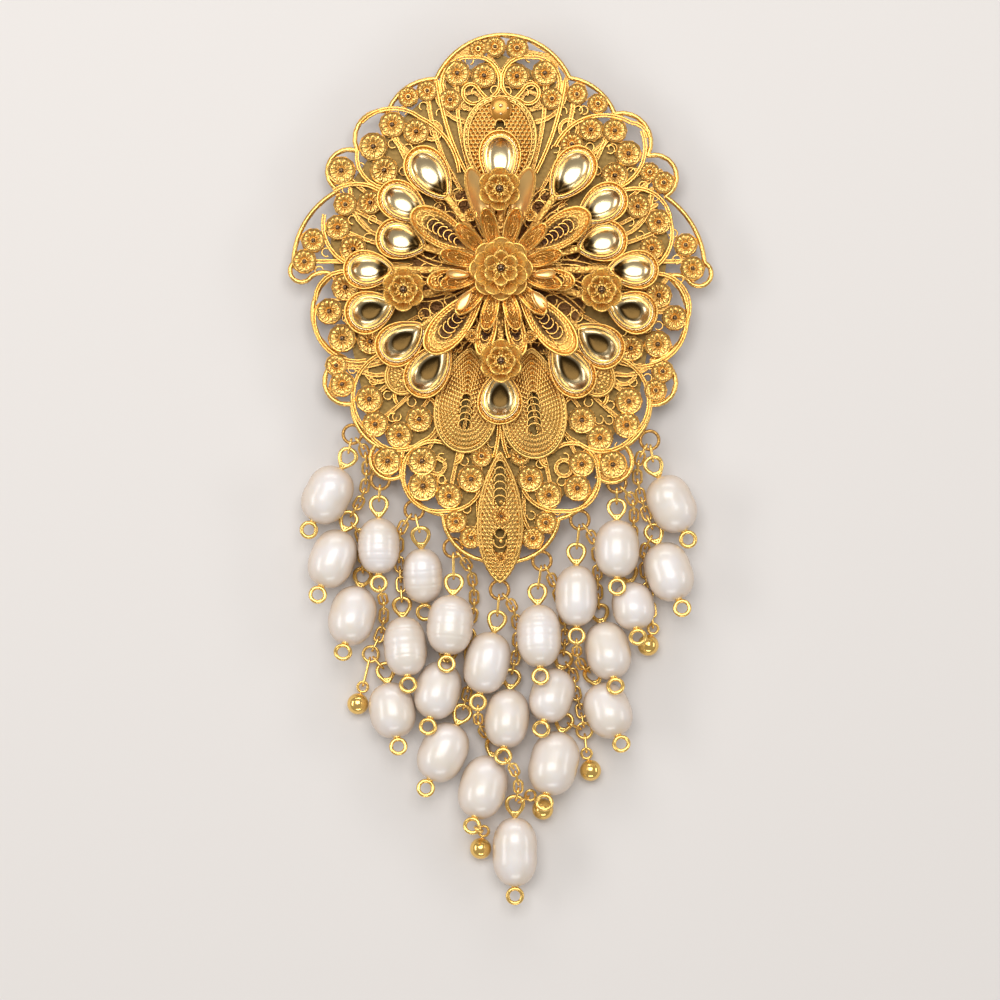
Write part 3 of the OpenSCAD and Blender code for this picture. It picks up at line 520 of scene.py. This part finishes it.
def even_ring(long, wide, taper, point, inset, count):
    """Places at even steps round the outline of a petal, or round one inset in it"""
    fine_steps = 240
    fine = [in_petal(inset * math.sin(k * math.tau / fine_steps),
                     -inset * math.cos(k * math.tau / fine_steps),
                     long, wide, taper, point)[:2] for k in range(fine_steps + 1)]
    marks = [0]
    for before, after in zip(fine, fine[1:]):
        marks.append(marks[-1] + math.dist(before, after))
    places, part = [], 0
    for k in range(count):
        goal = marks[-1] * k / count
        while marks[part + 1] < goal:
            part += 1
        share = (goal - marks[part]) / max(1e-9, marks[part + 1] - marks[part])
        places.append([a + (b - a) * share for a, b in zip(fine[part], fine[part + 1])])
    return places


def beaded_wire(long, wide, taper, rise, wire, count=64, bead=0.7, point=0.0, inset=1.0, drop=0.0):
    """A ring of beaded wire that follows the outline of a petal, or lies inset in it"""
    bpy.ops.object.select_all(action="DESELECT")
    bpy.ops.mesh.primitive_circle_add(vertices=count, radius=1, location=(0, 0, 0))
    ring = bpy.context.object
    for vertex, (x, y) in zip(ring.data.vertices, even_ring(long, wide, taper, point, inset, count)):
        vertex.co = (x * MM, y * MM, (rise * (y / long) ** 2 - drop) * MM)
    bpy.ops.object.convert(target="CURVE")
    ring.data.bevel_depth = wire * MM
    ring.data.bevel_resolution = 1
    for spline in ring.data.splines:
        for number, knot in enumerate(spline.points):
            knot.radius = 1 if number % 2 else bead
    bpy.ops.object.convert(target="MESH")
    return bpy.context.object


def plait(x, y, rho, angle, long, wide):
    """Height of wire plaited in rows along the edge, with a small pit between the strands"""
    row_gap, stitch, pit = 0.37, 0.45, 0.135
    inside = (1 - rho) * wide / 2
    row = round(inside / row_gap)
    in_row = 1 - row * row_gap / (wide / 2)
    place = angle * max(0.05, in_row) * (long + wide) / 4 / stitch + 0.5 * (row % 2)
    away = math.hypot((place - round(place)) * stitch, inside - row * row_gap)
    return 1 - math.exp(-(away / pit) ** 2)


def net(x, y, rho, angle, long, wide):
    """Height of a net of wire with round pits between its strands"""
    gap, pit = 0.58, 0.19
    row_gap = gap * 0.87
    row = round(y / row_gap)
    column = round(x / gap - 0.5 * (row % 2)) + 0.5 * (row % 2)
    away = math.hypot(x - column * gap, y - row * row_gap)
    return 1 - math.exp(-(away / pit) ** 2)


def crescents(count, first, last, radii, heights, wire, turn=0):
    """A row of C-shaped loops of wire between two distances along Y, in millimetres"""
    row = []
    for k in range(count):
        part = k / max(1, count - 1)
        radius = radii[0] + (radii[1] - radii[0]) * part
        height = heights[0] + (heights[1] - heights[0]) * part
        place = first + (last - first) * part
        row.append(bent_wire(0, place * MM, radius * MM, math.radians(-15 + turn), math.radians(210),
                             height, wire))
    return joined(row, "loops", bright_wire)


def thickened(piece, thick):
    """Gives a sheet its thickness, away from its outer face"""
    wall = piece.modifiers.new("wall", "SOLIDIFY")
    wall.thickness = thick * MM
    wall.offset = -1
    bpy.ops.object.modifier_apply(modifier="wall")


pad_wall, edge_fade = 0.2, 8
frame_r, inner_r, loop_r = 0.24, 0.12, 0.13
inner_long, inner_wide = 0.93, 0.88
loop_gap = 0.95


def pad(name, start, end, wide, taper, swell, weave, relief, node, fine, slots=(), point=0.0):
    """A woven pad on the place of its CAD node, with slots left open in its middle"""
    long, wide = reach(start, end), wide * chart_step
    bpy.ops.object.select_all(action="DESELECT")
    bpy.ops.mesh.primitive_grid_add(x_subdivisions=fine[0], y_subdivisions=fine[1], size=2,
                                    location=(0, 0, 0))
    sheet = bpy.context.object
    painted_shade_marks, lost = [], []
    for vertex in sheet.data.vertices:
        u, v = vertex.co.x, vertex.co.y
        disc_x, disc_y = u * math.sqrt(1 - v * v / 2), v * math.sqrt(1 - u * u / 2)
        x, y, rho = in_petal(disc_x, disc_y, long, wide, taper, point)
        high = weave(x, y, rho, abs(math.atan2(disc_x, -disc_y)), long, wide)
        sunk = (1 - high) * min(1, (1 - rho) * edge_fade)
        # the depth of each pit also paints shade into the colour
        painted_shade_marks.append(sunk)
        vertex.co = (x * MM, y * MM, (swell * (1 - rho * rho) + petal_t - relief * sunk) * MM)
        for near, far, half, _ in slots:
            middle = (near + far) / 2
            if abs(x) < half * math.sqrt(max(0, 1 - ((y - middle) / (far - near) * 2) ** 2)):
                lost.append(vertex.index)
    sheet.data.attributes.new("depth", "FLOAT", "POINT").data.foreach_set("value", painted_shade_marks)
    if lost:
        bpy.ops.object.mode_set(mode="EDIT")
        bpy.ops.mesh.select_all(action="DESELECT")
        bpy.ops.object.mode_set(mode="OBJECT")
        for index in lost:
            sheet.data.vertices[index].select = True
        bpy.ops.object.mode_set(mode="EDIT")
        bpy.ops.mesh.delete(type="VERT")
        bpy.ops.object.mode_set(mode="OBJECT")
    thickened(sheet, pad_wall)
    aimed(sheet, start, end, woven_z)
    frame_wire = beaded_wire(long, wide, taper, 0, frame_r, 90, 0.72, point)
    aimed(frame_wire, start, end, woven_z + petal_t * 0.7)
    inner_wire = beaded_wire(long * inner_long, wide * inner_wide, taper, 0, inner_r, 72, 1.0, point)
    aimed(inner_wire, start, end, woven_z + petal_t + inner_r)
    centred = (1 - inner_long) / 2 * chart_step * MM
    inner_wire.location.x += (end[0] - start[0]) * centred
    inner_wire.location.y -= (end[1] - start[1]) * centred
    pieces = [sheet, frame_wire, inner_wire]
    top = swell + petal_t - 0.1
    for near, far, half, turn in slots:
        loops = crescents(round((far - near) / loop_gap), near + 0.5, far - 0.5,
                          (half * 0.75, half * 1.05), (top, top), loop_r, turn)
        pieces.append(aimed(loops, start, end, woven_z))
    whole = joined(pieces, name, woven_gold)
    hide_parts(node)
    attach(whole, "root")


# each slot is its start and end along the pad, half its width, and the turn of its loops
pad("netted_top_petal", (500, 196), (500, 96), 72, 0.45, 0.7, net, 0.28, "woven_top_petal",
    (104, 150), [(7.9, 9.8, 0.62, 0)])
pad("plaited_left_petal", (470, 348), (463, 452), 62, 0.55, 0.7, plait, 0.2, "woven_lower_left_petal",
    (112, 168), [(6.0, 10.6, 0.84, 180)])
pad("plaited_right_petal", (531, 348), (536, 458), 64, 0.55, 0.7, plait, 0.2, "woven_lower_right_petal",
    (112, 168), [(5.8, 11.3, 0.98, 180)])
pad("plaited_small_left", (424, 338), (394, 392), 36, 0.8, 0.5, plait, 0.16, "woven_small_left_petal",
    (64, 92))
pad("plaited_small_right", (576, 340), (606, 394), 36, 0.8, 0.5, plait, 0.16, "woven_small_right_petal",
    (64, 92))
pad("bottom_leaf_pad", (500, 452), (500, 582), 44, 0.8, 0.7, net, 0.2, "bottom_leaf", (64, 170),
    [(1.2, 7.0, 0.85, 180), (10.0, 13.2, 0.95, 0)], 0.41)

# Two balls of gold are fused on the bottom leaf, one above each of its two daisies
bead_piece = joined([fused_bead(501, 502, 5.5, 0.3), fused_bead(501, 541, 5.4, 0.3)], "leaf_beads",
                    bright_wire)
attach(bead_piece, "root")

# Spoons. Each is a deep dish of sheet, stamped and polished like a mirror, with a border of
# beaded wire. They stand on bars that run to a turned post in the middle of the brooch.
SPOONS = [
    (500, 163, 52, 31), (431, 176, 52, 31), (570, 176, 52, 31), (405, 205, 46, 29),
    (600, 207, 46, 29), (403, 241, 42, 30), (600, 243, 42, 30), (371, 270, 42, 28),
    (631, 270, 42, 28), (372, 311, 42, 32), (630, 311, 42, 32), (403, 341, 46, 32),
    (597, 343, 46, 32), (431, 368, 52, 32), (569, 368, 52, 32), (500, 396, 44, 34),
]
spoon_z = woven_z + 2.5
spoon_dip = 1.1
mirror_gold = gold("mirror_gold", (1.0, 0.80, 0.47), 0.24, stain=0.05)
# painted reflection: the dishes darken where a mirror would show a dark reflection, in the hollow or at
# the foot
add_painted_shade(mirror_gold, (0.07, 0.04, 0.012))


def shell(long, wide, taper, dip, rise, thick, rings=8, segments=28, shade=0.0, flat=2, foot=0.0):
    """A cupped sheet in a petal's outline, with painted shade in its hollow by shade and at its start by
    foot
    """
    cup = ball(segments, rings * 2)
    open_mesh()
    bpy.ops.mesh.bisect(plane_co=(0, 0, 0.001), plane_no=(0, 0, 1), clear_outer=True)
    bpy.ops.mesh.select_all(action="SELECT")
    bpy.ops.mesh.flip_normals()
    bpy.ops.object.mode_set(mode="OBJECT")
    painted_shade_marks, ribs = [], []
    for vertex in cup.data.vertices:
        x, y, rho = in_petal(vertex.co.x, vertex.co.y, long, wide, taper)
        hollow = shade * min(1, max(0, (0.72 - rho) / 0.2))
        foot_line = 0.36 + 0.08 * math.cos(5 * x / wide)
        start = foot * min(1, max(0, (foot_line - y / long) / 0.12)) * (rho < 0.9)
        painted_shade_marks.append(max(hollow, start))
        ribs.append(x / wide / (0.25 + 0.75 * y / long))
        vertex.co = (x * MM, y * MM, (rise * (y / long) ** 2 - dip * (1 - rho ** flat)) * MM)
    cup.data.attributes.new("depth", "FLOAT", "POINT").data.foreach_set("value", painted_shade_marks)
    cup.data.attributes.new("rib", "FLOAT", "POINT").data.foreach_set("value", ribs)
    thickened(cup, thick)
    bpy.ops.object.shade_smooth()
    return cup


def grain_ring(long, wide, taper, rise, wire, inset, gap, neck, drop):
    """A ring of grains that lie about a gap apart, inset in the outline of a petal"""
    a, b = long / 2 * inset, wide / 2 * inset
    around = math.pi * (3 * (a + b) - math.sqrt((3 * a + b) * (a + 3 * b)))
    count = 2 * max(8, round(around / gap))
    return beaded_wire(long, wide, taper, rise, wire, count, neck, inset=inset, drop=drop)


def outward(x, y):
    """Unit step on the chart away from the middle of the flowers"""
    size = math.hypot(x - crown[0], y - crown[1])
    return (x - crown[0]) / size, (y - crown[1]) / size


def bar(start, end, height, wide, thick):
    """A flat bar with eased edges from one chart place to another"""
    bpy.ops.object.select_all(action="DESELECT")
    bpy.ops.mesh.primitive_cube_add(size=1, location=(0, 0, 0))
    piece = bpy.context.object
    open_mesh()
    bpy.ops.transform.resize(value=(wide * MM, reach(start, end) * MM, thick * MM))
    bpy.ops.transform.translate(value=(0, reach(start, end) / 2 * MM, 0))
    bpy.ops.mesh.bevel(offset=0.12 * MM, segments=2, affect="EDGES")
    bpy.ops.object.mode_set(mode="OBJECT")
    return aimed(piece, start, end, height)


def post(height, low, radius, place=crown, ease=0.2, sides=40):
    """A turned post with eased rims, over the middle of the brooch or another place"""
    bpy.ops.object.select_all(action="DESELECT")
    bpy.ops.mesh.primitive_cylinder_add(vertices=sides, radius=radius * MM, depth=height * MM,
                                        location=at(*place, low + height / 2))
    piece = bpy.context.object
    open_mesh()
    bpy.ops.mesh.bevel(offset=ease * MM, segments=2, affect="EDGES")
    bpy.ops.object.mode_set(mode="OBJECT")
    return piece


amber_gold = gold("amber_gold", (0.80, 0.44, 0.10), 0.3, 0.5, 0.3, stain=0.2, metal=0.7)
# painted shade: the grounds of the looped petals turn near black in their hollows
add_painted_shade(amber_gold, (0.045, 0.014, 0.003))
dishes, borders, leaves = [], [], []
leaf_z = spoon_z - 0.8
hub_low, hub_r = 3.9, 4.6
supports = [post(spoon_z - hub_low + petal_t, hub_low, hub_r)]
for x, y, long, wide in SPOONS:
    way = outward(x, y)
    start, end = along((x, y), way, -long / 2), along((x, y), way, long / 2)
    long_mm, wide_mm = long * chart_step, wide * chart_step
    # those of the lower half get a painted dark reflection in their hollow, and the others at their foot
    in_hollow, at_foot = (1, 0) if y > 300 else (0, 1)
    dish = shell(long_mm, wide_mm, 0.5, spoon_dip, 0, 0.3, 12, 36, in_hollow, 3.4, at_foot)
    dishes.append(aimed(dish, start, end, spoon_z))
    borders.append(aimed(beaded_wire(long_mm, wide_mm, 0.5, 0, 0.16, 70, 0.85), start, end, spoon_z))
    # a larger leaf, with a beaded wire and a ring of grains on it, lies behind each
    back, front = along(start, way, -4), along(end, way, 6)
    leaf_long, leaf_wide = (long + 10) * chart_step, (wide + 10) * chart_step
    leaves.append(aimed(shell(leaf_long, leaf_wide, 0.6, 0.75, 0, 0.25, 6, 28), back, front, leaf_z))
    borders.append(aimed(beaded_wire(leaf_long, leaf_wide, 0.6, 0, 0.14, 64, 0.9), back, front, leaf_z))
    inner = grain_ring(leaf_long, leaf_wide, 0.6, 0, 0.2, 0.88, 0.52, 0.2, 0.17)
    borders.append(aimed(inner, back, front, leaf_z))
    supports.append(bar(along(crown, way, 25), along(start, way, 4), spoon_z - 0.3, 0.9, 0.5))
dish_piece = joined(dishes, "spoon_dishes", mirror_gold)
leaf_ground = joined(leaves, "spoon_leaves", amber_gold)
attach(leaf_ground, "root")
support_piece = joined(supports, "spoon_supports", amber_gold)
border_piece = joined(borders, "spoon_borders", bright_wire)
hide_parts("spoon_petals")
for piece in (dish_piece, border_piece, support_piece):
    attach(piece, "root")

# Petals of the second tier. Each is a dished amber sheet in a frame of beaded wire, with two rings
# of grains and a row of small C loops soldered in it. They stand on a post over that of the spoons.
LOOPED = [
    (413, 213, 32), (588, 214, 32), (428, 352, 34), (573, 353, 34), (428, 284, 20),
    (574, 284, 20), (481, 356, 18), (521, 356, 18),
]
# the two beside the top flower are plain polished buds
BUDS = [(470, 170, 20), (530, 170, 20)]
looped_z = spoon_z + petal_t + 0.1
looped_rise, looped_dip = 0.9, 0.35
base = looped_z + 0.9
grounds, frames, buds = [post(1.1, looped_z, hub_r)], [], []
for x, y, wide in LOOPED + BUDS:
    way = outward(x, y)
    start, end = along(crown, way, 26), (x, y)
    long_mm, wide_mm = reach(start, end), wide * chart_step
    size = (long_mm, wide_mm)
    grounds.append(bar(along(crown, way, 20), along(start, way, 6), looped_z + 0.6, 1.0, 0.6))
    if (x, y, wide) in BUDS:
        buds.append(aimed(shell(*size, 0.9, 0.55, looped_rise, 0.35), start, end, base))
        frames.append(aimed(beaded_wire(*size, 0.9, looped_rise, 0.15, 64, 1.0), start, end, base))
        continue
    # shade=1.0 paints dark shade into the hollow of each ground
    grounds.append(aimed(shell(*size, 0.75, looped_dip, looped_rise, 0.35, shade=1.0), start, end, base))
    frames.append(aimed(beaded_wire(*size, 0.75, looped_rise, 0.2, 64, 0.8), start, end, base))
    for inset in (0.85, 0.69):
        inner = grain_ring(*size, 0.75, looped_rise, 0.2, inset, 0.5, 0.2,
                           looped_dip * (1 - inset ** 2) - 0.03)
        frames.append(aimed(inner, start, end, base))
    loops = crescents(8 if wide > 30 else 5, long_mm * 0.32, long_mm * 0.82,
                      (wide_mm * 0.12, wide_mm * 0.24), (-0.08, 0.55), 0.12)
    frames.append(aimed(loops, start, end, base))
ground_piece = joined(grounds, "looped_grounds", amber_gold)
frame_piece = joined(frames, "looped_frames", bright_wire)
bud_gold = gold("bud_gold", (0.98, 0.63, 0.23), 0.25, stain=0.08, metal=0.65)
bud_piece = joined(buds, "looped_buds", bud_gold)
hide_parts("looped_petals")
for piece in (ground_piece, frame_piece, bud_piece):
    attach(piece, "root")

# Narrow leaves of the third tier. They are twelve slim cups of ribbed amber sheet, edged with
# round wire, with two rings of grains inside. Bars carry them from a short post of their own.
narrow_z = looped_z + 1.2
narrow_rise, narrow_dip = 1.2, 0.3
leaf_start, leaf_tip, leaf_wide = 18, 62, 15
leaf_amber = gold("leaf_amber", (0.90, 0.50, 0.12), 0.25, stain=0.15, metal=0.8)


def ribbed(look, count, high):
    """Raises fine ribs that fan out from the start of a petal"""
    nodes, links = look.node_tree.nodes, look.node_tree.links
    across = nodes.new("ShaderNodeAttribute")
    across.attribute_name = "rib"
    turns = nodes.new("ShaderNodeMath")
    turns.operation = "MULTIPLY"
    turns.inputs[1].default_value = count * math.tau
    links.new(across.outputs["Fac"], turns.inputs[0])
    wave = nodes.new("ShaderNodeMath")
    wave.operation = "SINE"
    links.new(turns.outputs["Value"], wave.inputs[0])
    bump = nodes.new("ShaderNodeBump")
    bump.inputs["Strength"].default_value = 1.0
    bump.inputs["Distance"].default_value = high * MM
    links.new(wave.outputs["Value"], bump.inputs["Height"])
    links.new(bump.outputs["Normal"], nodes["Principled BSDF"].inputs["Normal"])


ribbed(leaf_amber, 3.5, 0.09)
leaves, leaf_wires = [post(0.9, narrow_z, 3.4)], []
for k in range(12):
    way = heading(math.radians(k * 30 + 15))
    start, end = along(crown, way, leaf_start), along(crown, way, leaf_tip)
    size = (reach(start, end), leaf_wide * chart_step)
    cup = shell(*size, 0.5, narrow_dip, narrow_rise, 0.3, 6, 20, 0.5)
    leaves.append(aimed(cup, start, end, narrow_z + 0.8))
    leaves.append(bar(along(crown, way, 14), along(start, way, 5), narrow_z + 0.5, 0.8, 0.6))
    edge = beaded_wire(*size, 0.5, narrow_rise, 0.17, 48, 1.0)
    leaf_wires.append(aimed(edge, start, end, narrow_z + 0.85))
    for inset in (0.7, 0.3):
        inner = grain_ring(*size, 0.5, narrow_rise, 0.16, inset, 0.44, 0.25,
                           narrow_dip * (1 - inset ** 2) - 0.05)
        leaf_wires.append(aimed(inner, start, end, narrow_z + 0.8))
# four small polished tabs between the leaves, close to the middle flower
tabs = [aimed(shell(reach(start, end), wide, 0.8, 0.12, 0.3, 0.25, 6, 20), start, end, narrow_z + 1.7)
        for start, end, wide in (((470, 277), (447, 275), 1.1), ((532, 277), (555, 275), 1.1),
                                 ((472, 292), (457, 312), 1.4), ((531, 292), (546, 310), 1.4))]
tab_piece = joined(tabs, "polished_tabs", bud_gold)
leaf_piece = joined(leaves, "leaf_cups", leaf_amber)
leaf_wire_piece = joined(leaf_wires, "leaf_wires", bright_wire)
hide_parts("narrow_leaves")
for piece in (leaf_piece, leaf_wire_piece, tab_piece):
    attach(piece, "root")

# Flowers. Each has rings of cupped amber petals with a bright wire round each, one ring over
# the other, and a polished bead in a ring of seven grains. The middle flower has three rings.
petal_amber = gold("petal_amber", (1.0, 0.67, 0.19), 0.22, stain=0.12, metal=0.5)
# painted shade: the cups turn a deeper orange in their hollows
add_painted_shade(petal_amber, (0.92, 0.44, 0.08))
ribbed(petal_amber, 4, 0.07)
flower_reach = 21 * chart_step
# count, reach, width, height of the foot, rise to the tip, first angle
SMALL_RINGS = [(6, flower_reach, 2.3, 1.0, 0.7, 0), (6, flower_reach * 0.66, 1.7, 1.9, 0.9, 30)]
top_spot, bottom_spot = (499.5, 191.5), (501, 362)
left_spot, right_spot = (404, 291), (601, 291.5)
FLOWERS = [
    ("top_flower", top_spot, looped_z + 1.3, SMALL_RINGS, 0.55),
    ("left_flower", left_spot, looped_z + 0.4, SMALL_RINGS, 0.55),
    ("right_flower", right_spot, looped_z + 0.4, SMALL_RINGS, 0.55),
    ("bottom_flower", bottom_spot, looped_z + 1.3, SMALL_RINGS, 0.55),
    ("centre_flower", crown, narrow_z + 1.0,
     [(8, 31 * chart_step, 2.9, 0.9, 0.5, 0), (8, 27 * chart_step, 2.5, 2.0, 0.8, 22.5),
      (6, 17 * chart_step, 1.8, 3.0, 0.9, 0)], 0.6),
]
petal_foot = 0.2
seeds, seed_ring, seed_size = 7, 7.5, 0.2
flower_beads = []
for name, place, base, rings, bead in FLOWERS:
    cups, rims = [], []
    for count, out, wide, foot, rise, first in rings:
        long_mm = out - petal_foot
        # the hollow of each cup gets painted shade
        cup = shell(long_mm, wide, 0.3, 0.35, rise, 0.2, 8, 28, 0.8)
        rim = beaded_wire(long_mm, wide, 0.3, rise, 0.15, 32, 1.0)
        for k in range(count):
            turn = math.radians(first + k * 360 / count)
            x, y, z = at(*place, base + foot)
            spot = (x - math.sin(turn) * petal_foot * MM, y + math.cos(turn) * petal_foot * MM, z)
            cups.append(own_copy(cup, spot, turn))
            rims.append(own_copy(rim, spot, turn))
        bpy.data.objects.remove(cup)
        bpy.data.objects.remove(rim)
    top = rings[-1][3]
    flower_post = post(top + 0.1, base, 0.9, place, 0.15, 24)
    flower_beads.append(fused_bead(*place, base + top + 0.35, bead, 20))
    for k in range(seeds):
        spot = along(place, heading(math.radians(k * 360 / seeds)), seed_ring)
        rims.append(fused_bead(*spot, base + top + 0.62, seed_size, 8))
    cup_piece = joined(cups + [flower_post], name + "_cups", petal_amber)
    rim_piece = joined(rims, name + "_wires", bright_wire)
    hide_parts(name)
    for piece in (cup_piece, rim_piece):
        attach(piece, "root")
# the flower beads share that painted dark reflection
bead_piece = joined(flower_beads, "flower_beads", bead_gold_painted_reflection)
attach(bead_piece, "root")

# Stems. Each outer flower and small star stands on a straight round wire, soldered at its foot
# to the bar of the spoon below it, or to the openwork.
plate_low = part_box("openwork_plate")[0][2] / MM + 0.1
bar_top = spoon_z - 0.2
flower_stem_r, star_stem_r, star_top = 0.45, 0.28, 9.6
stems = []
for place, foot, rise in ((top_spot, bar_top, 1.5), (bottom_spot, bar_top, 1.5),
                          (left_spot, plate_low, 0.6), (right_spot, plate_low, 0.6)):
    stems.append(post(looped_z + rise - foot, foot, flower_stem_r, place, 0.05))
for place in ((471, 217), (530, 217), (472, 337), (530, 338)):
    stems.append(post(star_top - plate_low, plate_low, star_stem_r, place, 0.05))
stem_piece = joined(stems, "flower_stems", amber_gold)
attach(stem_piece, "root")

# Boss of the top petal. It is a low stamped dome of amber gold with four polished beads fused on
# its crown, and it is soldered over the net near the petal's tip.
boss_z = 5.15
dome = ball(32, 16, MM)
open_mesh()
bpy.ops.transform.resize(value=(1.5, 1.65, 0.42))
bpy.ops.mesh.bisect(plane_co=(0, 0, -0.1 * MM), plane_no=(0, 0, 1), clear_inner=True, use_fill=True)
bpy.ops.object.mode_set(mode="OBJECT")
dome.location = at(500.8, 109, boss_z)
boss_amber = gold("boss_amber", (0.60, 0.27, 0.04), 0.24, stain=0.2, metal=0.5)
boss = joined([dome], "top_petal_boss", boss_amber)
boss_beads = [fused_bead(x, y, boss_z + 0.38, size) for x, y, size in (
    (500.8, 106, 0.3), (493.6, 108.5, 0.19), (507.7, 108.5, 0.19), (500.8, 114, 0.2))]
boss_bead_piece = joined(boss_beads, "boss_beads", mirror_gold)
for piece in (boss, boss_bead_piece):
    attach(piece, "root")

# Chains and balls. Links, rings, eye pins and balls are drawn and turned wire of bright gold,
# polished all over. The links are bent shut round each other and hang loose.
chain_gold = gold("chain_gold", (0.98, 0.64, 0.19), 0.16, stain=0.08, metal=0.8)
for n in range(1, 10):
    finish_node(f"strand_{n}", chain_gold)

# Pearls. They are rice pearls of cream nacre with a lilac sheen, drilled from end to end. Some
# have a waist or fine grooves round them. Each is threaded on an eye pin of its strand.
# middle x, y, width, length, tilt of the top to the right, lift of the foot, height of the top
# eye, depth of the waist
PEARLS = [
    (327, 495, 48, 60, 28, 0, 3.5, 0.12),
    (672, 504, 47, 59, -25, 0, 3.5, 0.12),
    (332, 559, 46, 60, 22, 13, 1.9, 0.04),
    (378.5, 546, 42, 56, 0, 4, 3.5, 0.0),
    (422.5, 576, 41, 55, -3, -8, 3.5, 0.06),
    (617, 549, 45, 58, 0, 12, 3.5, 0.0),
    (669, 572, 48, 60, -20, 14, 2.2, 0.1),
    (576.5, 596, 43, 61, 0, 6, 3.5, 0.06),
    (352, 616, 47, 61, 14, 22, 1.25, 0.04),
    (633.5, 606.5, 43, 48, -8, 24, 1.6, 0.04),
    (450, 625, 47, 60, 5, 12, 3.5, 0.05),
    (539, 636, 45, 63, -2, 14, 3.5, 0.04),
    (405, 647, 44, 61, -5, 20, 1.8, 0.04),
    (487, 663, 46, 62, 13, 4, 3.5, 0.04),
    (608, 651, 46, 59, -12, 24, 1.2, 0.08),
    (552, 696, 44, 56, 18, 23, 1.2, 0.04),
    (437.5, 691, 46, 59, 15, 20, 1.5, 0.03),
    (392, 711, 47, 56, -10, 16, 1.75, 0.04),
    (507, 719, 45, 60, 6, 20, 1.6, 0.02),
    (608, 711, 47, 57, -22, 22, 1.3, 0.06),
    (443, 753, 48, 61, 26, 8, 2.4, 0.06),
    (554, 764, 50, 65, 14, 20, 1.5, 0.1),
    (483, 788, 48, 65, 16, 22, 1.25, 0.04),
    (515, 853, 46, 69, 0, 0, 3.1, 0.14),
]
nacre, _, _ = clouded("nacre", 260, 2, (0.35, (0.75, 0.69, 0.62)), (0.65, (0.79, 0.755, 0.75)))
# painted reflection: the pearls' edges turn warm tan as a painted sheen of the gold around them
painted_edge_sheen = nacre.node_tree.nodes.new("ShaderNodeLayerWeight")
painted_edge_sheen.inputs["Blend"].default_value = 0.42
deepened(nacre, painted_edge_sheen.outputs["Facing"], (0.62, 0.43, 0.26))
for name, value in (("Roughness", 0.34), ("IOR", 1.6), ("Subsurface Weight", 0.2),
                    ("Subsurface Radius", (0.0012, 0.0009, 0.0007)), ("Subsurface Scale", 1.0),
                    ("Coat Weight", 0.9), ("Coat Roughness", 0.23)):
    nacre.node_tree.nodes["Principled BSDF"].inputs[name].default_value = value

# those with fine grooves round them
GROOVED = (4, 5, 11, 12, 13)
groove_gap, groove_deep, grooved_part = 0.95, 0.05, 0.55
waist_spread = 0.22
blunt_ends = 0.86
top_neck = 1.69


def laid(long, lift, eye_height):
    """Half the length of a pearl and the height of its middle, in millimetres"""
    half = long * chart_step / 2
    return half, eye_height + (half + top_neck) * math.sin(math.radians(lift))


for number, (x, y, wide, long, tilt, lift, eye_height, waist) in enumerate(PEARLS, 1):
    half, height = laid(long, lift, eye_height)
    pearl = ball(32, 72 if number in GROOVED else 24)
    pearl.name = f"rice_pearl_{number}"
    for vertex in pearl.data.vertices:
        u = vertex.co.z
        r = math.hypot(vertex.co.x, vertex.co.y)
        far = math.copysign(abs(u) ** blunt_ends, u) * half
        across = r ** blunt_ends * wide * chart_step / 2
        across -= waist * math.exp(-(far / half / waist_spread) ** 2) * min(1, r * 3)
        if number in GROOVED and abs(far) < grooved_part * half:
            across -= groove_deep * max(0, math.cos(math.tau * far / groove_gap)) ** 6
        scale = across / r if r > 1e-6 else 0
        vertex.co = (vertex.co.x * scale * MM, vertex.co.y * scale * MM, far * MM)
    bpy.ops.object.shade_smooth()
    pearl.rotation_euler = (math.radians(-90 - lift), 0, math.radians(-tilt))
    pearl.location = at(x, y, height)
    bpy.ops.object.transform_apply(location=True, rotation=True, scale=True)
    pearl.data.materials.append(nacre)
    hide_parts(f"pearl_{number}")
    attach(pearl, "root")

# Pearl pins. The top of each pin is drawn out to a drop-shaped eye whose two wires meet at the
# pearl. Its foot is a round loop over a small collar that keeps the pearl from sliding off.
eye_r, foot_r, pin_wire = 1.08, 0.95, 0.27
foot_neck = 1.25
collar_r, collar_wire = 0.3, 0.2
eyes = []
for x, y, wide, long, tilt, lift, eye_height, waist in PEARLS:
    half, height = laid(long, lift, eye_height)
    eye = beaded_wire(top_neck + eye_r - 0.05, 2 * eye_r, 1.1, 0, pin_wire, 32, 1.0)
    open_mesh()
    bpy.ops.transform.translate(value=(0, (half + 0.05) * MM, 0))
    bpy.ops.object.mode_set(mode="OBJECT")
    bpy.ops.object.select_all(action="DESELECT")
    bpy.ops.mesh.primitive_torus_add(location=(0, (-half - foot_neck) * MM, 0),
                                     major_segments=28, minor_segments=8,
                                     major_radius=foot_r * MM, minor_radius=pin_wire * MM)
    foot = bpy.context.object
    bpy.ops.mesh.primitive_torus_add(location=(0, (-half + 0.02) * MM, 0), rotation=(math.pi / 2, 0, 0),
                                     major_segments=16, minor_segments=6,
                                     major_radius=collar_r * MM, minor_radius=collar_wire * MM)
    collar = bpy.context.object
    pin = joined([eye, foot, collar], "pin_eye", chain_gold)
    pin.rotation_euler = (math.radians(-lift), 0, math.radians(-tilt))
    pin.location = at(x, y, height)
    eyes.append(pin)
pin_eyes = joined(eyes, "pearl_pin_eyes", chain_gold)
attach(pin_eyes, "root")
